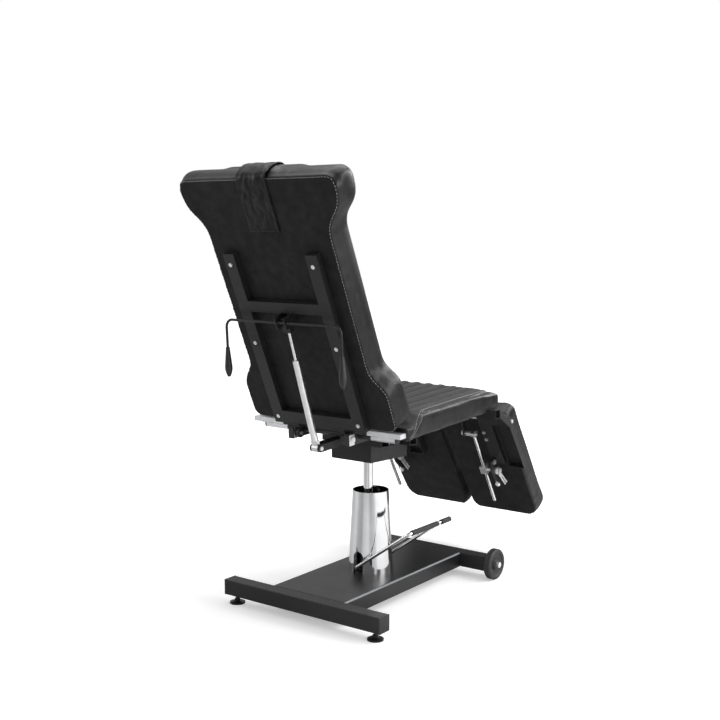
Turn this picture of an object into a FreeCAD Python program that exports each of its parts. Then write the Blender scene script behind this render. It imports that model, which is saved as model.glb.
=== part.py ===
import FreeCAD, Part
import math
import os
import re
import Sketcher

# Tattoo chair: a hydraulic column on an H-shaped base carries a swivelling seat with a
# reclining backrest and two separate leg rests. X runs across the chair, -Y is the front,
# +Z is up, and the origin is on the floor in the middle of the footprint.

SIZES = {
    # Places of the assemblies
    "column_place": 77.5,
    "seat_over_housing": 42.4,
    "seat_tilt": 2.5,
    "back_angle": 23.488,
    "leg_slope": 33.7,
    "cut_over": 2,
    "running_gap": 0.05,
    "soft_gap": 0.3,
    # Base frame
    "bar_width": 50,
    "bar_wall": 2.5,
    "bar_corner": 3,
    "bar_clear": 29,
    "rear_bar_behind": 340.5,
    "rear_bar_half": 306,
    "front_bar_ahead": 371.5,
    "front_bar_half": 250,
    "bar_cap_thick": 4,
    "deck_half": 145,
    "deck_sheet": 3,
    "deck_bend": 7,
    # Levelling feet and wheels
    "foot_inset": 29,
    "foot_radius": 25,
    "foot_thick": 9,
    "foot_taper": 4,
    "stem_radius": 5,
    "stem_reach": 22,
    "foot_nut_radius": 9,
    "foot_nut_thick": 7,
    "wheel_radius": 53,
    "wheel_wide": 26,
    "wheel_gap": 1,
    "wheel_rim": 8,
    "wheel_dish": 4,
    "wheel_hub_radius": 16,
    "wheel_ahead": 374,
    "wheel_bolt_radius": 6,
    "wheel_bolt_head": 10,
    "wheel_bolt_out": 9,
    # Pump, piston and pedal
    "cover_base_radius": 74,
    "cover_top_radius": 60,
    "cover_tall": 270,
    "cover_sheet": 1.5,
    "cover_ahead": 14,
    "cover_slot_half": 19,
    "cover_slot_tall": 72,
    "pump_radius": 38,
    "pump_tall": 235,
    "pump_flange_radius": 55,
    "pump_flange_thick": 6,
    "gland_radius": 27,
    "gland_tall": 14,
    "piston_radius": 16,
    "piston_foot": 205,
    "piston_top": 489,
    "axle_height": 100,
    "axle_boss_radius": 12,
    "axle_boss_reach": 14,
    "pedal_rod_radius": 5.5,
    "pedal_rise": 34.9,
    "pedal_reach": 262,
    "pedal_arm_half": 86,
    "pedal_bend": 12,
    "pedal_overhang": 58,
    "sleeve_radius": 8.5,
    # Swivel housing and cross channels
    "housing_half": 80,
    "housing_rear": 93,
    "housing_front": 108,
    "housing_rear_low": 464,
    "housing_rear_high": 519,
    "housing_front_low": 456,
    "housing_front_high": 497,
    "housing_sheet": 3,
    "housing_top_share": 1.2,
    "hub_radius": 26,
    "hub_low": 458,
    "hub_plate_low": 489.5,
    "hub_plate_thick": 5,
    "hub_plate_half": 65,
    "channel_wide": 42,
    "channel_half": 120,
    "channel_sheet": 3,
    "rear_channel_place": 50,
    "front_channel_place": 66,
    "housing_bolt_radius": 6,
    "housing_bolt_tall": 5,
    "housing_bolt_side": 62,
    # Seat frame
    "rail_side": 110,
    "rail_wide": 20,
    "rail_tall": 34,
    "rail_wall": 2,
    "rail_rear": 259,
    "rail_front": 284,
    "rail_cap_thick": 3,
    "pan_half": 290,
    "pan_rear": 232,
    "pan_front": 318,
    "pan_thick": 15,
    "cross_tube_radius": 10,
    "cross_tube_wall": 2,
    "cross_tube_drop_share": 1.2,
    "cross_tube_half": 256,
    "cross_tube_place": 203,
    "tube_plug_thick": 6,
    "front_bar_tall": 30,
    "hinge_place": 242.5,
    "hinge_pin_radius": 6,
    "hinge_pin_head": 9,
    "hinge_pin_head_thick": 4,
    # Seat cushion
    "seat_half": 300,
    "seat_side_tall": 60,
    "seat_skirt": 4.5,
    "seat_crown": 9,
    "seat_front": 336,
    "seat_rear_low": 208,
    "seat_rear_high": 120,
    "seat_corner": 26,
    "seat_plan_corner": 45,
    "pleat_pitch": 50,
    "pleat_count": 9,
    "pleat_deep": 3,
    "cushion_edge": 12,
    # Backrest frame
    "back_hinge_drop": 55,
    "ear_side": 84,
    "ear_thick": 12,
    "ear_radius": 15,
    "back_rail_side": 158,
    "back_rail_wide": 42,
    "back_rail_deep": 20,
    "back_rail_low": 24,
    "back_rail_high": 562,
    "back_screw_pitch": 263.6,
    "screw_radius": 6.5,
    "screw_head": 3,
    "screw_shank": 3,
    "upper_tube_low": 372,
    "upper_tube_tall": 35,
    "lower_tube_tall": 42,
    "panel_thick": 12,
    "bracket_half": 19,
    "bracket_sheet": 4,
    "bracket_low": 334,
    "bracket_out": 34,
    # Backrest panel outline and cushion
    "back_foot_half": 284,
    "back_waist_half": 235,
    "back_top_half": 297,
    "back_foot_below": 28,
    "back_foot_rise": 84,
    "back_waist_low": 195,
    "back_waist_high": 600,
    "back_top_rise": 742,
    "back_top": 790,
    "back_corner": 30,
    "back_bulge": 18,
    "back_thick": 84,
    "strap_half": 56,
    "strap_thick": 4,
    "strap_drop": 164,
    "pillow_half": 140,
    "pillow_tall": 130,
    "pillow_thick": 52,
    "pillow_drop": 110,
    # Gas spring and its release
    "spring_foot_place": 271,
    "spring_foot_drop": 16.6,
    "spring_head_rise": 354,
    "spring_head_out": 3,
    "spring_pin_radius": 4,
    "spring_pin_head": 7,
    "spring_body_radius": 11,
    "spring_rod_radius": 5,
    "spring_body_low": 26,
    "spring_body_high": 299,
    "spring_bore_deep": 175,
    "spring_rod_inside": 85,
    "spring_head_low": 392,
    "spring_head_half": 10,
    "spring_slot_in": 4.8,
    "spring_slot_out": 5.8,
    "spring_slot_gap": 0.8,
    "spring_slot_wall": 2.2,
    "spring_eye_radius": 12,
    "fork_half": 12,
    "fork_thick": 6,
    "fork_radius": 12,
    "release_rise": 355,
    "release_out": 27,
    "release_radius": 4,
    "release_half": 222,
    "release_bend": 24,
    "grip_drop": 161,
    "grip_out": 60,
    "grip_long": 86,
    "grip_radius": 11,
    "grip_neck": 6,
    # Leg rests
    "leg_hinge_ahead": 75.677,
    "leg_hinge_drop": 21.546,
    "leg_top": 440,
    "leg_foot": 68,
    "leg_inner": 5.5,
    "leg_outer_top": 300,
    "leg_outer_foot": 290,
    "leg_board_thick": 12,
    "leg_thick": 78,
    "leg_outer_corner": 50,
    "leg_inner_corner": 32,
    "leg_edge": 16,
    "leg_hinge_rise": 420,
    "leg_shift": 420,
    "leg_bar_inner": 187,
    "leg_bar_outer": 238,
    "leg_channel_inner": 248,
    "leg_channel_outer": 310,
    "leg_bar_deep": 20,
    "leg_bar_low": 215,
    "leg_bar_high": 440,
    "leg_channel_low": 205,
    "shaft_radius": 6,
    "leg_bracket_thick": 6,
    "bracket_reach_share": 2.4,
    "leg_bracket_inner": 120,
    "leg_bracket_gap": 1,
    "hinge_round": 9.4,
    "prop_round": 13,
    "prop_pin_rise": 353,
    "prop_pin_out": 26,
    "prop_foot_rise": 46,
    "prop_foot_out": 45.8,
    "prop_side": 155,
    "prop_radius": 6.25,
    "prop_eye_radius": 11,
    "prop_eye_wide": 14,
    "prop_pin_radius": 5,
    "washer_radius": 12,
    "washer_thick": 3,
    "nut_radius": 9,
    "nut_thick": 8,
    "clamp_rise": 194,
    "clamp_half": 13,
    "clamp_tall": 30,
    "clamp_pin_radius": 6,
    "angle_plate_side": 200,
    "angle_plate_thick": 5,
    "angle_plate_low": 115,
    "angle_plate_out": 62,
    "slot_back": 5.5,
    "slot_ahead": 6.5,
    "slot_gap": 1.6,
    "clamp_disc_radius": 14,
    "clamp_disc_thick": 6,
    "ball_lever_side": 186,
    "lever_eye_radius": 10,
    "lever_thick": 6,
    "ball_drop": 72,
    "ball_in": 0.8,
    "ball_radius": 9,
    "lever_rod_radius": 3.5,
    "hub_bolt_rise": 230,
    "hub_bolt_out": 32,
    "flat_lever_long": 62,
    "flat_lever_wide": 16,
    "flat_lever_slot": 5,
    "hub_bolt_radius": 4,
}

doc = FreeCAD.newDocument("tattoo_chair")
sheet = doc.addObject("Spreadsheet::Sheet", "sizes")
for row, (alias, value) in enumerate(SIZES.items(), 1):
    sheet.set("A%d" % row, alias)
    sheet.set("B%d" % row, str(value))
    sheet.setAlias("B%d" % row, alias)
doc.recompute()

X_AXIS = FreeCAD.Vector(1, 0, 0)
Y_AXIS = FreeCAD.Vector(0, 1, 0)
Z_AXIS = FreeCAD.Vector(0, 0, 1)
WORD = re.compile(r"[a-z][a-z_]*[a-z]")
NODES = []


class NamedSizes:
    """Reads the sizes back from the sheet."""

    def __getattr__(self, alias):
        return float(sheet.get(alias))


size = NamedSizes()


def named(text):
    """An expression in named sizes, each alias written with its sheet."""
    return WORD.sub(lambda word: "sizes." + word.group() if word.group() in SIZES else word.group(), text)


def number(text):
    """The value of an expression in named sizes."""
    return float(probe.evalExpression(named(text)))


def bind(obj, **texts):
    for prop, text in texts.items():
        obj.setExpression(prop, named(text))


def put(obj, at):
    for axis, text in zip("xyz", at):
        obj.setExpression("Placement.Base." + axis, named(text))


def vector(x, y, z):
    return FreeCAD.Vector(number(x), number(y), number(z))


probe = doc.addObject("App::FeaturePython", "probe")


# Frames of the tilted assemblies: the local Y axis leans down and the local Z axis leans back
def tilted(origin, degrees):
    return FreeCAD.Placement(origin, FreeCAD.Rotation(X_AXIS, -degrees))


LEVEL = FreeCAD.Placement()
SEAT = tilted(vector("0", "column_place", "housing_rear_high + seat_over_housing"), size.seat_tilt)
HINGE = SEAT.multVec(vector("0", "hinge_place", "rail_tall / 2"))
BACK = tilted(HINGE, size.back_angle)
BACK = BACK.multiply(FreeCAD.Placement(vector("0", "0", "back_hinge_drop"), FreeCAD.Rotation()))
LEG_HINGE = SEAT.multVec(vector("0", "-rail_front - front_bar_tall - leg_hinge_ahead", "-leg_hinge_drop"))
LEG = tilted(LEG_HINGE, size.leg_slope)
LEG = LEG.multiply(FreeCAD.Placement(vector("0", "-leg_bar_deep / 2", "-leg_hinge_rise"), FreeCAD.Rotation()))


# Primitives, placed by their centres
def box(name, wide, deep, tall, at):
    obj = doc.addObject("Part::Box", name)
    bind(obj, Length=wide, Width=deep, Height=tall)
    put(obj, [f"({place}) - ({side}) / 2" for place, side in zip(at, (wide, deep, tall))])
    return obj


TURNS = {
    "x": FreeCAD.Rotation(Z_AXIS, X_AXIS),
    "y": FreeCAD.Rotation(Z_AXIS, Y_AXIS),
    "z": FreeCAD.Rotation(),
}


def rod(name, radius, long, axis, at):
    obj = doc.addObject("Part::Cylinder", name)
    bind(obj, Radius=radius, Height=long)
    obj.Placement = FreeCAD.Placement(FreeCAD.Vector(), TURNS[axis])
    put(obj, [f"({at[i]}) - ({long}) / 2" if "xyz"[i] == axis else at[i] for i in range(3)])
    return obj


def ball(name, radius, at):
    obj = doc.addObject("Part::Sphere", name)
    bind(obj, Radius=radius)
    put(obj, at)
    return obj


def fuse(name, *shapes):
    obj = doc.addObject("Part::MultiFuse", name)
    obj.Shapes = list(shapes)
    obj.Refine = True
    return obj


def cut(name, base, *tools):
    obj = doc.addObject("Part::Cut", name)
    obj.Base = base
    obj.Tool = tools[0] if len(tools) == 1 else fuse(name + "_tools", *tools)
    return obj


def common(name, *shapes):
    obj = doc.addObject("Part::MultiCommon", name)
    obj.Shapes = list(shapes)
    return obj


def group(name, *shapes):
    obj = doc.addObject("Part::Compound", name)
    obj.Links = list(shapes)
    return obj


def node(obj, label, frame=LEVEL):
    """One sub-part of the chair, in the frame of its assembly."""
    obj.Label = label
    obj.Placement = frame.multiply(obj.Placement)
    NODES.append(obj)
    return obj


# Sketched outlines: each corner is bound to named sizes
def sketch_on(body, name, role, offset="0"):
    sketch = body.newObject("Sketcher::SketchObject", name)
    origin_plane = next(item for item in body.Origin.OriginFeatures if item.Role == role)
    sketch.AttachmentSupport = [(origin_plane, "")]
    sketch.MapMode = "FlatFace"
    sketch.setExpression("AttachmentOffset.Base.z", named(offset))
    return sketch


def corners(sketch, points):
    first = sketch.GeometryCount
    count = len(points)
    places = [FreeCAD.Vector(number(x), number(y), 0) for x, y in points]
    for index in range(count):
        sketch.addGeometry(Part.LineSegment(places[index], places[(index + 1) % count]))
    for index, (x, y) in enumerate(points):
        before = first + (index - 1) % count
        sketch.addConstraint(Sketcher.Constraint("Coincident", before, 2, first + index, 1))
        for kind, text, place in (("DistanceX", x, places[index].x), ("DistanceY", y, places[index].y)):
            key = sketch.addConstraint(Sketcher.Constraint(kind, -1, 1, first + index, 1, place))
            sketch.setExpression("Constraints[%d]" % key, named(text))


def rectangle(sketch, wide, tall, x="0", y="0"):
    left, right = f"({x}) - ({wide}) / 2", f"({x}) + ({wide}) / 2"
    low, high = f"({y}) - ({tall}) / 2", f"({y}) + ({tall}) / 2"
    corners(sketch, [(left, low), (right, low), (right, high), (left, high)])


def pad(body, sketch, long, side="Symmetric", backwards=False):
    feature = body.newObject("PartDesign::Pad", sketch.Name + "_pad")
    feature.Profile = sketch
    feature.SideType = side
    feature.Reversed = backwards
    feature.setExpression("Length", named(long))
    doc.recompute()
    return feature


def pocket(body, sketch, long):
    feature = body.newObject("PartDesign::Pocket", sketch.Name + "_pocket")
    before = body.Shape.Volume
    feature.Profile = sketch
    feature.SideType = "Symmetric"
    feature.setExpression("Length", named(long))
    doc.recompute()
    if feature.Shape.Volume >= before:
        raise ValueError(sketch.Name + " cuts nothing")
    return feature


def soften(body, feature, wanted, radius, kind="Fillet"):
    """Rounds or bevels the edges of the last feature that the test picks."""
    names = ["Edge%d" % (i + 1) for i, edge in enumerate(feature.Shape.Edges) if wanted(edge)]
    softened = body.newObject("PartDesign::" + kind, feature.Name + "_soft")
    softened.Base = (feature, names)
    softened.setExpression("Radius" if kind == "Fillet" else "Size", named(radius))
    doc.recompute()
    return softened


def runs_along(axis):
    def wanted(edge):
        if not isinstance(edge.Curve, Part.Line):
            return False
        return abs(abs(edge.tangentAt(edge.FirstParameter).dot(axis)) - 1) < ANGLE_SHARE
    return wanted


FULL_TURN = 360
ANGLE_SHARE = 1e-6


def tube_along_x(label, half, deep, tall, wall, y, z, corner=None):
    """A rectangular tube across the chair with rounded long edges."""
    body = doc.addObject("PartDesign::Body", label)
    outside = sketch_on(body, label + "_outside", "YZ_Plane")
    rectangle(outside, deep, tall, y, z)
    last = pad(body, outside, f"2 * ({half})")
    if corner:
        last = soften(body, last, runs_along(X_AXIS), corner)
    inside = sketch_on(body, label + "_inside", "YZ_Plane")
    rectangle(inside, f"{deep} - 2 * {wall}", f"{tall} - 2 * {wall}", y, z)
    pocket(body, inside, f"2 * ({half}) + cut_over")
    return body


def screw_heads(label, places, radius, head, shank_radius, shank, out, frame):
    """Pan-head screws whose heads stand on the plane y = out, with shanks towards -Y."""
    screws = []
    for index, (x, z) in enumerate(places):
        name = f"{label}_{index}"
        face = rod(name + "_head", radius, head, "y", (x, f"({out}) + ({head}) / 2", z))
        stem = rod(name + "_stem", shank_radius, shank, "y", (x, f"({out}) - ({shank}) / 2", z))
        screws.append(fuse(name, face, stem))
    return node(group(label, *screws), label, frame)


def holes(name, places, radius, long, y):
    return [rod(f"{name}_{i}", radius, long, "y", (x, y, z)) for i, (x, z) in enumerate(places)]


# Base frame
REAR_Y = "(column_place + rear_bar_behind)"
FRONT_Y = "(column_place - front_bar_ahead)"
BAR_Z = "(bar_clear + bar_width / 2)"
BAR_TOP = "(bar_clear + bar_width)"
FOOT_X = "(rear_bar_half - foot_inset)"
BRACKET_OUTER = "(leg_channel_outer + leg_bracket_gap + leg_bracket_thick / 2)"


def rear_crossbar():
    bar = tube_along_x("rear_bar_tube", "rear_bar_half", "bar_width", "bar_width", "bar_wall",
                       REAR_Y, BAR_Z, corner="bar_corner")
    stems = [
        rod("foot_hole_" + side, "stem_radius + running_gap", "2 * bar_wall + cut_over", "z",
            (sign + FOOT_X, REAR_Y, "bar_clear"))
        for side, sign in (("left", ""), ("right", "-"))
    ]
    node(cut("rear_bar", bar, *stems), "rear_crossbar")


def front_crossbar():
    bar = tube_along_x("front_bar_tube", "front_bar_half", "bar_width", "bar_width", "bar_wall",
                       FRONT_Y, BAR_Z, corner="bar_corner")
    node(bar, "front_crossbar")


def crossbar_caps():
    """Black end caps: a rounded plate with a plug that fits the tube."""
    caps = []
    bars = (("rear", "rear_bar_half", REAR_Y), ("front", "front_bar_half", FRONT_Y))
    for bar, half, y in bars:
        for side, sign in (("left", 1), ("right", -1)):
            name = f"{bar}_{side}_cap"
            plate_x = f"{sign} * ({half} + bar_cap_thick / 2)"
            if bar == "front":
                plate_x = f"{sign} * ({half} + wheel_gap)"
            thick = "bar_cap_thick" if bar == "rear" else "2 * wheel_gap"
            plate = box(name + "_plate", thick, "bar_width", "bar_width", (plate_x, y, BAR_Z))
            inner = "bar_width - 2 * bar_wall"
            plug_x = f"{sign} * ({half} - 2 * bar_cap_thick)"
            plug = box(name + "_plug", "4 * bar_cap_thick", inner, inner, (plug_x, y, BAR_Z))
            solid = fuse(name, plate, plug)
            if bar == "front":
                bore = rod(name + "_bore", "wheel_bolt_radius", "8 * bar_cap_thick", "x",
                           (plug_x, "column_place - wheel_ahead", "wheel_radius"))
                solid = cut(name + "_bored", solid, bore)
            caps.append(solid)
    node(group("caps", *caps), "crossbar_caps")


def deck_plate():
    """Sheet folded down along both sides, its bends left bright."""
    body = doc.addObject("PartDesign::Body", "deck")
    middle = f"-({REAR_Y} + {FRONT_Y}) / 2"
    outer = sketch_on(body, "deck_outer", "XZ_Plane", middle)
    high, low = BAR_TOP, "bar_clear"
    corners(outer, [("-deck_half", low), ("deck_half", low), ("deck_half", high), ("-deck_half", high)])
    long = f"{REAR_Y} - {FRONT_Y} - bar_width"
    last = pad(body, outer, long)

    def top_edge(edge):
        return runs_along(Y_AXIS)(edge) and edge.CenterOfMass.z > number(BAR_Z)
    soften(body, last, top_edge, "deck_bend")
    inner = sketch_on(body, "deck_inner", "XZ_Plane", middle)
    side = "(deck_half - deck_sheet)"
    top = f"({BAR_TOP} - deck_sheet)"
    bevel = "(deck_bend - deck_sheet)"
    corners(inner, [
        (f"-{side}", "bar_clear - cut_over"), (side, "bar_clear - cut_over"), (side, f"{top} - {bevel}"),
        (f"{side} - {bevel}", top), (f"{bevel} - {side}", top), (f"-{side}", f"{top} - {bevel}"),
    ])
    pocket(body, inner, long + " + cut_over")
    node(body, "deck_plate")


def revolved(label, points, at):
    """A turned piece: the outline has radius and height, and turns about its vertical axis."""
    body = doc.addObject("PartDesign::Body", label)
    half = sketch_on(body, label + "_half", "XZ_Plane")
    corners(half, points)
    turn = body.newObject("PartDesign::Revolution", label + "_turn")
    turn.Profile = half
    turn.ReferenceAxis = (half, ["V_Axis"])
    turn.Angle = FULL_TURN
    doc.recompute()
    body.Placement = at
    return body


def levelling_feet():
    for side, sign in (("left", ""), ("right", "-")):
        at = FreeCAD.Placement(vector(sign + FOOT_X, REAR_Y, "0"), FreeCAD.Rotation())
        points = [
            ("0", "0"), ("foot_radius", "0"), ("foot_radius", "foot_thick - foot_taper"),
            ("foot_nut_radius + foot_taper", "foot_thick"), ("foot_nut_radius", "foot_thick"),
            ("foot_nut_radius", "foot_thick + foot_nut_thick"),
            ("stem_radius", "foot_thick + foot_nut_thick"),
            ("stem_radius", "bar_clear + stem_reach"), ("0", "bar_clear + stem_reach"),
        ]
        node(revolved(side + "_foot_turned", points, at), side + "_levelling_foot")


WHEEL_IN = "(front_bar_half + 2 * wheel_gap + wheel_gap)"


def wheels():
    """Turned wheels with a raised rim, a dished web and a hub."""
    for side, sign in (("left", 1), ("right", -1)):
        turn = FreeCAD.Rotation(Z_AXIS, X_AXIS * sign)
        centre = vector(f"{sign} * {WHEEL_IN}", "column_place - wheel_ahead", "wheel_radius")
        at = FreeCAD.Placement(centre, turn)
        bore = "wheel_bolt_radius + running_gap"
        points = [
            (bore, "0"), ("wheel_radius - wheel_dish", "0"), ("wheel_radius", "wheel_dish"),
            ("wheel_radius", "wheel_wide - wheel_dish"), ("wheel_radius - wheel_dish", "wheel_wide"),
            ("wheel_radius - wheel_rim - wheel_dish", "wheel_wide"),
            ("wheel_radius - wheel_rim - 2 * wheel_dish", "wheel_wide - wheel_dish"),
            ("wheel_hub_radius + wheel_dish", "wheel_wide - 2 * wheel_dish"),
            ("wheel_hub_radius", "wheel_wide"), (bore, "wheel_wide"),
        ]
        node(revolved(side + "_wheel_turned", points, at), side + "_wheel")


def wheel_bolts():
    bolts = []
    for side, sign in (("left", 1), ("right", -1)):
        y, z = "column_place - wheel_ahead", "wheel_radius"
        long = f"({WHEEL_IN} + wheel_wide + wheel_gap - front_bar_half + 4 * bar_cap_thick)"
        mid = f"{sign} * ({WHEEL_IN} + wheel_wide + wheel_gap - {long} / 2)"
        shank = rod(f"{side}_bolt_shank", "wheel_bolt_radius", long, "x", (mid, y, z))
        head_x = f"{sign} * ({WHEEL_IN} + wheel_wide + wheel_gap + wheel_bolt_out / 2)"
        head = rod(f"{side}_bolt_head", "wheel_bolt_head", "wheel_bolt_out", "x", (head_x, y, z))
        bolts.append(fuse(f"{side}_bolt", shank, head))
    node(group("bolts", *bolts), "wheel_bolts")


# Hydraulic column and pedal
COVER_Y = "(column_place - cover_ahead)"


def pump_cover():
    """Polished tapered shroud, open at the top, with an arched slot for each pedal arm."""
    at = FreeCAD.Placement(vector("0", COVER_Y, BAR_TOP), FreeCAD.Rotation())
    points = [
        ("cover_base_radius - cover_sheet", "0"), ("cover_base_radius", "0"),
        ("cover_top_radius", "cover_tall"), ("cover_top_radius - cover_sheet", "cover_tall"),
    ]
    shell = revolved("cover_shell", points, at)
    arch = "(cover_slot_tall - cover_slot_half)"
    deep = "2 * cover_base_radius + 2 * cut_over"
    gate = box("slot_gate", "2 * cover_slot_half", deep, arch, ("0", COVER_Y, f"{BAR_TOP} + {arch} / 2"))
    round_top = rod("slot_arch", "cover_slot_half", deep, "y", ("0", COVER_Y, f"{BAR_TOP} + {arch}"))
    node(cut("cover", shell, gate, round_top), "pump_cover")


def pump_cylinder():
    at = FreeCAD.Placement(vector("0", "column_place", BAR_TOP), FreeCAD.Rotation())
    bore = "piston_radius + running_gap"
    floor = "3 * pump_flange_thick"
    points = [
        ("0", "0"), ("pump_flange_radius", "0"), ("pump_flange_radius", "pump_flange_thick"),
        ("pump_radius", "pump_flange_thick"), ("pump_radius", "pump_tall"), ("gland_radius", "pump_tall"),
        ("gland_radius", "pump_tall + gland_tall"), (bore, "pump_tall + gland_tall"), (bore, floor),
        ("0", floor),
    ]
    barrel = revolved("pump_barrel", points, at)
    sides = []
    bores = []
    for side, sign in (("rear", 1), ("front", -1)):
        start = f"(pump_radius - axle_boss_reach)"
        y = f"column_place + {sign} * ({start} + axle_boss_reach)"
        long = "2 * axle_boss_reach"
        sides.append(rod(side + "_boss", "axle_boss_radius", long, "y", ("0", y, "axle_height")))
        y = f"column_place + {sign} * (pump_radius + axle_boss_reach)"
        bores.append(rod(side + "_bore", "pedal_rod_radius + running_gap", long, "y", ("0", y, "axle_height")))
    node(cut("pump", fuse("pump_solid", barrel, *sides), *bores), "pump_cylinder")


def piston_rod():
    long = "piston_top - piston_foot"
    at = ("0", "column_place", "(piston_top + piston_foot) / 2")
    node(rod("piston", "piston_radius", long, "z", at), "piston_rod")


def bent_wire(points, bend):
    """A path of straight runs joined by tangent arcs of one radius."""
    edges = []
    start = points[0]
    for before, corner, after in zip(points, points[1:], points[2:]):
        into = (before - corner).normalize()
        out = (after - corner).normalize()
        half = into.getAngle(out) / 2
        trim = bend / math.tan(half)
        middle = (into + out).normalize() * (bend / math.sin(half) - bend)
        first, last = corner + into * trim, corner + out * trim
        edges.append(Part.LineSegment(start, first).toShape())
        edges.append(Part.Arc(first, corner + middle, last).toShape())
        start = last
    edges.append(Part.LineSegment(start, points[-1]).toShape())
    return Part.Wire(edges)


def bent_rod(points, radius, bend):
    """A round bar bent along its path."""
    path = bent_wire(points, bend)
    first = path.Edges[0]
    circle_edge = Part.Circle(points[0], first.tangentAt(first.FirstParameter), radius).toShape()
    return path.makePipeShell([Part.Wire([circle_edge])], True, False)


def shaped(name, shape):
    obj = doc.addObject("Part::Feature", name)
    obj.Shape = shape
    return obj


# The pedal's own plane holds the axle (Y) and its two arms (X, turned up towards the sitter's right)
PEDAL = FreeCAD.Placement(
    vector("0", COVER_Y, "axle_height"), FreeCAD.Rotation(Y_AXIS, 180 + size.pedal_rise)
)


def foot_pedal():
    """Two arms and a cross bar, hooked into the pump at both sides."""
    near = size.pedal_arm_half
    inner = size.cover_ahead + size.pump_radius + size.axle_boss_reach / 2
    reach = size.pedal_reach
    loop_points = [
        FreeCAD.Vector(0, inner, 0), FreeCAD.Vector(0, near, 0), FreeCAD.Vector(reach, near, 0),
        FreeCAD.Vector(reach, -near - size.pedal_overhang, 0),
    ]
    loop = bent_rod(loop_points, size.pedal_rod_radius, size.pedal_bend)
    inner_far = size.pump_radius + size.axle_boss_reach / 2 - size.cover_ahead
    arm_points = [
        FreeCAD.Vector(0, -inner_far, 0), FreeCAD.Vector(0, -near, 0), FreeCAD.Vector(reach, -near, 0),
    ]
    arm = bent_rod(arm_points, size.pedal_rod_radius, size.pedal_bend)
    node(fuse("pedal", shaped("pedal_loop", loop), shaped("pedal_far_arm", arm)), "foot_pedal", PEDAL)


def pedal_sleeve():
    """Rubber tube on the cross bar between and beyond the arms, split where the far arm joins."""
    gap = "2 * pedal_rod_radius"
    runs = (
        ("inner", "pedal_arm_half - pedal_bend", "-pedal_arm_half + " + gap),
        ("outer", "-pedal_arm_half - " + gap, "-pedal_arm_half - pedal_overhang - pedal_rod_radius"),
    )
    tubes = []
    for name, start, end in runs:
        long = f"({start}) - ({end})"
        middle = f"(({start}) + ({end})) / 2"
        outside = rod("sleeve_" + name, "sleeve_radius", long, "y", ("pedal_reach", middle, "0"))
        bore_long = long + (" + cut_over" if name == "inner" else "")
        shift = "" if name == "inner" else " + pedal_rod_radius"
        bore = rod("sleeve_bore_" + name, "pedal_rod_radius", bore_long, "y",
                   ("pedal_reach", middle + shift, "0"))
        tubes.append(cut("sleeve_tube_" + name, outside, bore))
    node(group("sleeve", *tubes), "pedal_sleeve", PEDAL)


# Swivel housing and cross channels
def box_top(y):
    """Height of the housing's sloping top at a place behind the column."""
    slope = "(housing_rear_high - housing_front_high) / (housing_rear + housing_front)"
    return f"(housing_rear_high - (housing_rear - ({y})) * {slope})"


def rail_low(y):
    """Height of the rails' underside at a place behind the column."""
    return f"(housing_rear_high + seat_over_housing - ({y}) * tan(seat_tilt * 1deg))"


def swivel_housing():
    body = doc.addObject("PartDesign::Body", "housing")
    outside = sketch_on(body, "housing_outside", "YZ_Plane")
    rear, front = "column_place + housing_rear", "column_place - housing_front"
    corners(outside, [
        (rear, "housing_rear_low"), (rear, "housing_rear_high"),
        (front, "housing_front_high"), (front, "housing_front_low"),
    ])
    pad(body, outside, "2 * housing_half")
    inside = sketch_on(body, "housing_inside", "YZ_Plane")
    rear, front = rear + " - housing_sheet", front + " + housing_sheet"
    corners(inside, [
        (rear, "housing_rear_low - 2 * cut_over"),
        (rear, "housing_rear_high - housing_top_share * housing_sheet"),
        (front, "housing_front_high - housing_sheet"), (front, "housing_front_low - 2 * cut_over"),
    ])
    pocket(body, inside, "2 * (housing_half - housing_sheet)")
    node(body, "swivel_housing")


def swivel_hub():
    """Bearing tube on the piston, under a plate that joins the housing's sides."""
    tall = "hub_plate_low - hub_low"
    tube = rod("hub_tube", "hub_radius", tall, "z", ("0", "column_place", "(hub_plate_low + hub_low) / 2"))
    bore = rod("hub_bore", "piston_radius + running_gap", tall + " + cut_over", "z",
               ("0", "column_place", "(hub_plate_low + hub_low - cut_over) / 2"))
    plate = box("hub_plate", "2 * (housing_half - housing_sheet)", "2 * hub_plate_half", "hub_plate_thick",
                ("0", "column_place", "hub_plate_low + hub_plate_thick / 2"))
    node(fuse("hub", cut("hub_turned", tube, bore), plate), "swivel_hub")


def cross_channels():
    """Two folded channels from the sloping housing up to the rails."""
    channels = []
    for name, start in (("rear", "rear_channel_place"), ("front", "(-front_channel_place - channel_wide)")):
        end = f"({start} + channel_wide)"
        body = doc.addObject("PartDesign::Body", name + "_channel_body")
        outside = sketch_on(body, name + "_channel_outside", "YZ_Plane")
        corners(outside, [
            (f"column_place + {start}", box_top(start)), (f"column_place + {end}", box_top(end)),
            (f"column_place + {end}", rail_low(end)), (f"column_place + {start}", rail_low(start)),
        ])
        pad(body, outside, "2 * channel_half")
        inside = sketch_on(body, name + "_channel_inside", "YZ_Plane")
        start, end = f"({start} + channel_sheet)", f"({end} - channel_sheet)"
        corners(inside, [
            (f"column_place + {start}", box_top(start) + " + channel_sheet"),
            (f"column_place + {end}", box_top(end) + " + channel_sheet"),
            (f"column_place + {end}", rail_low(end) + " - channel_sheet"),
            (f"column_place + {start}", rail_low(start) + " - channel_sheet"),
        ])
        pocket(body, inside, "2 * channel_half + cut_over")
        channels.append(body)
    node(group("channels", *channels), "cross_channels")


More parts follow.
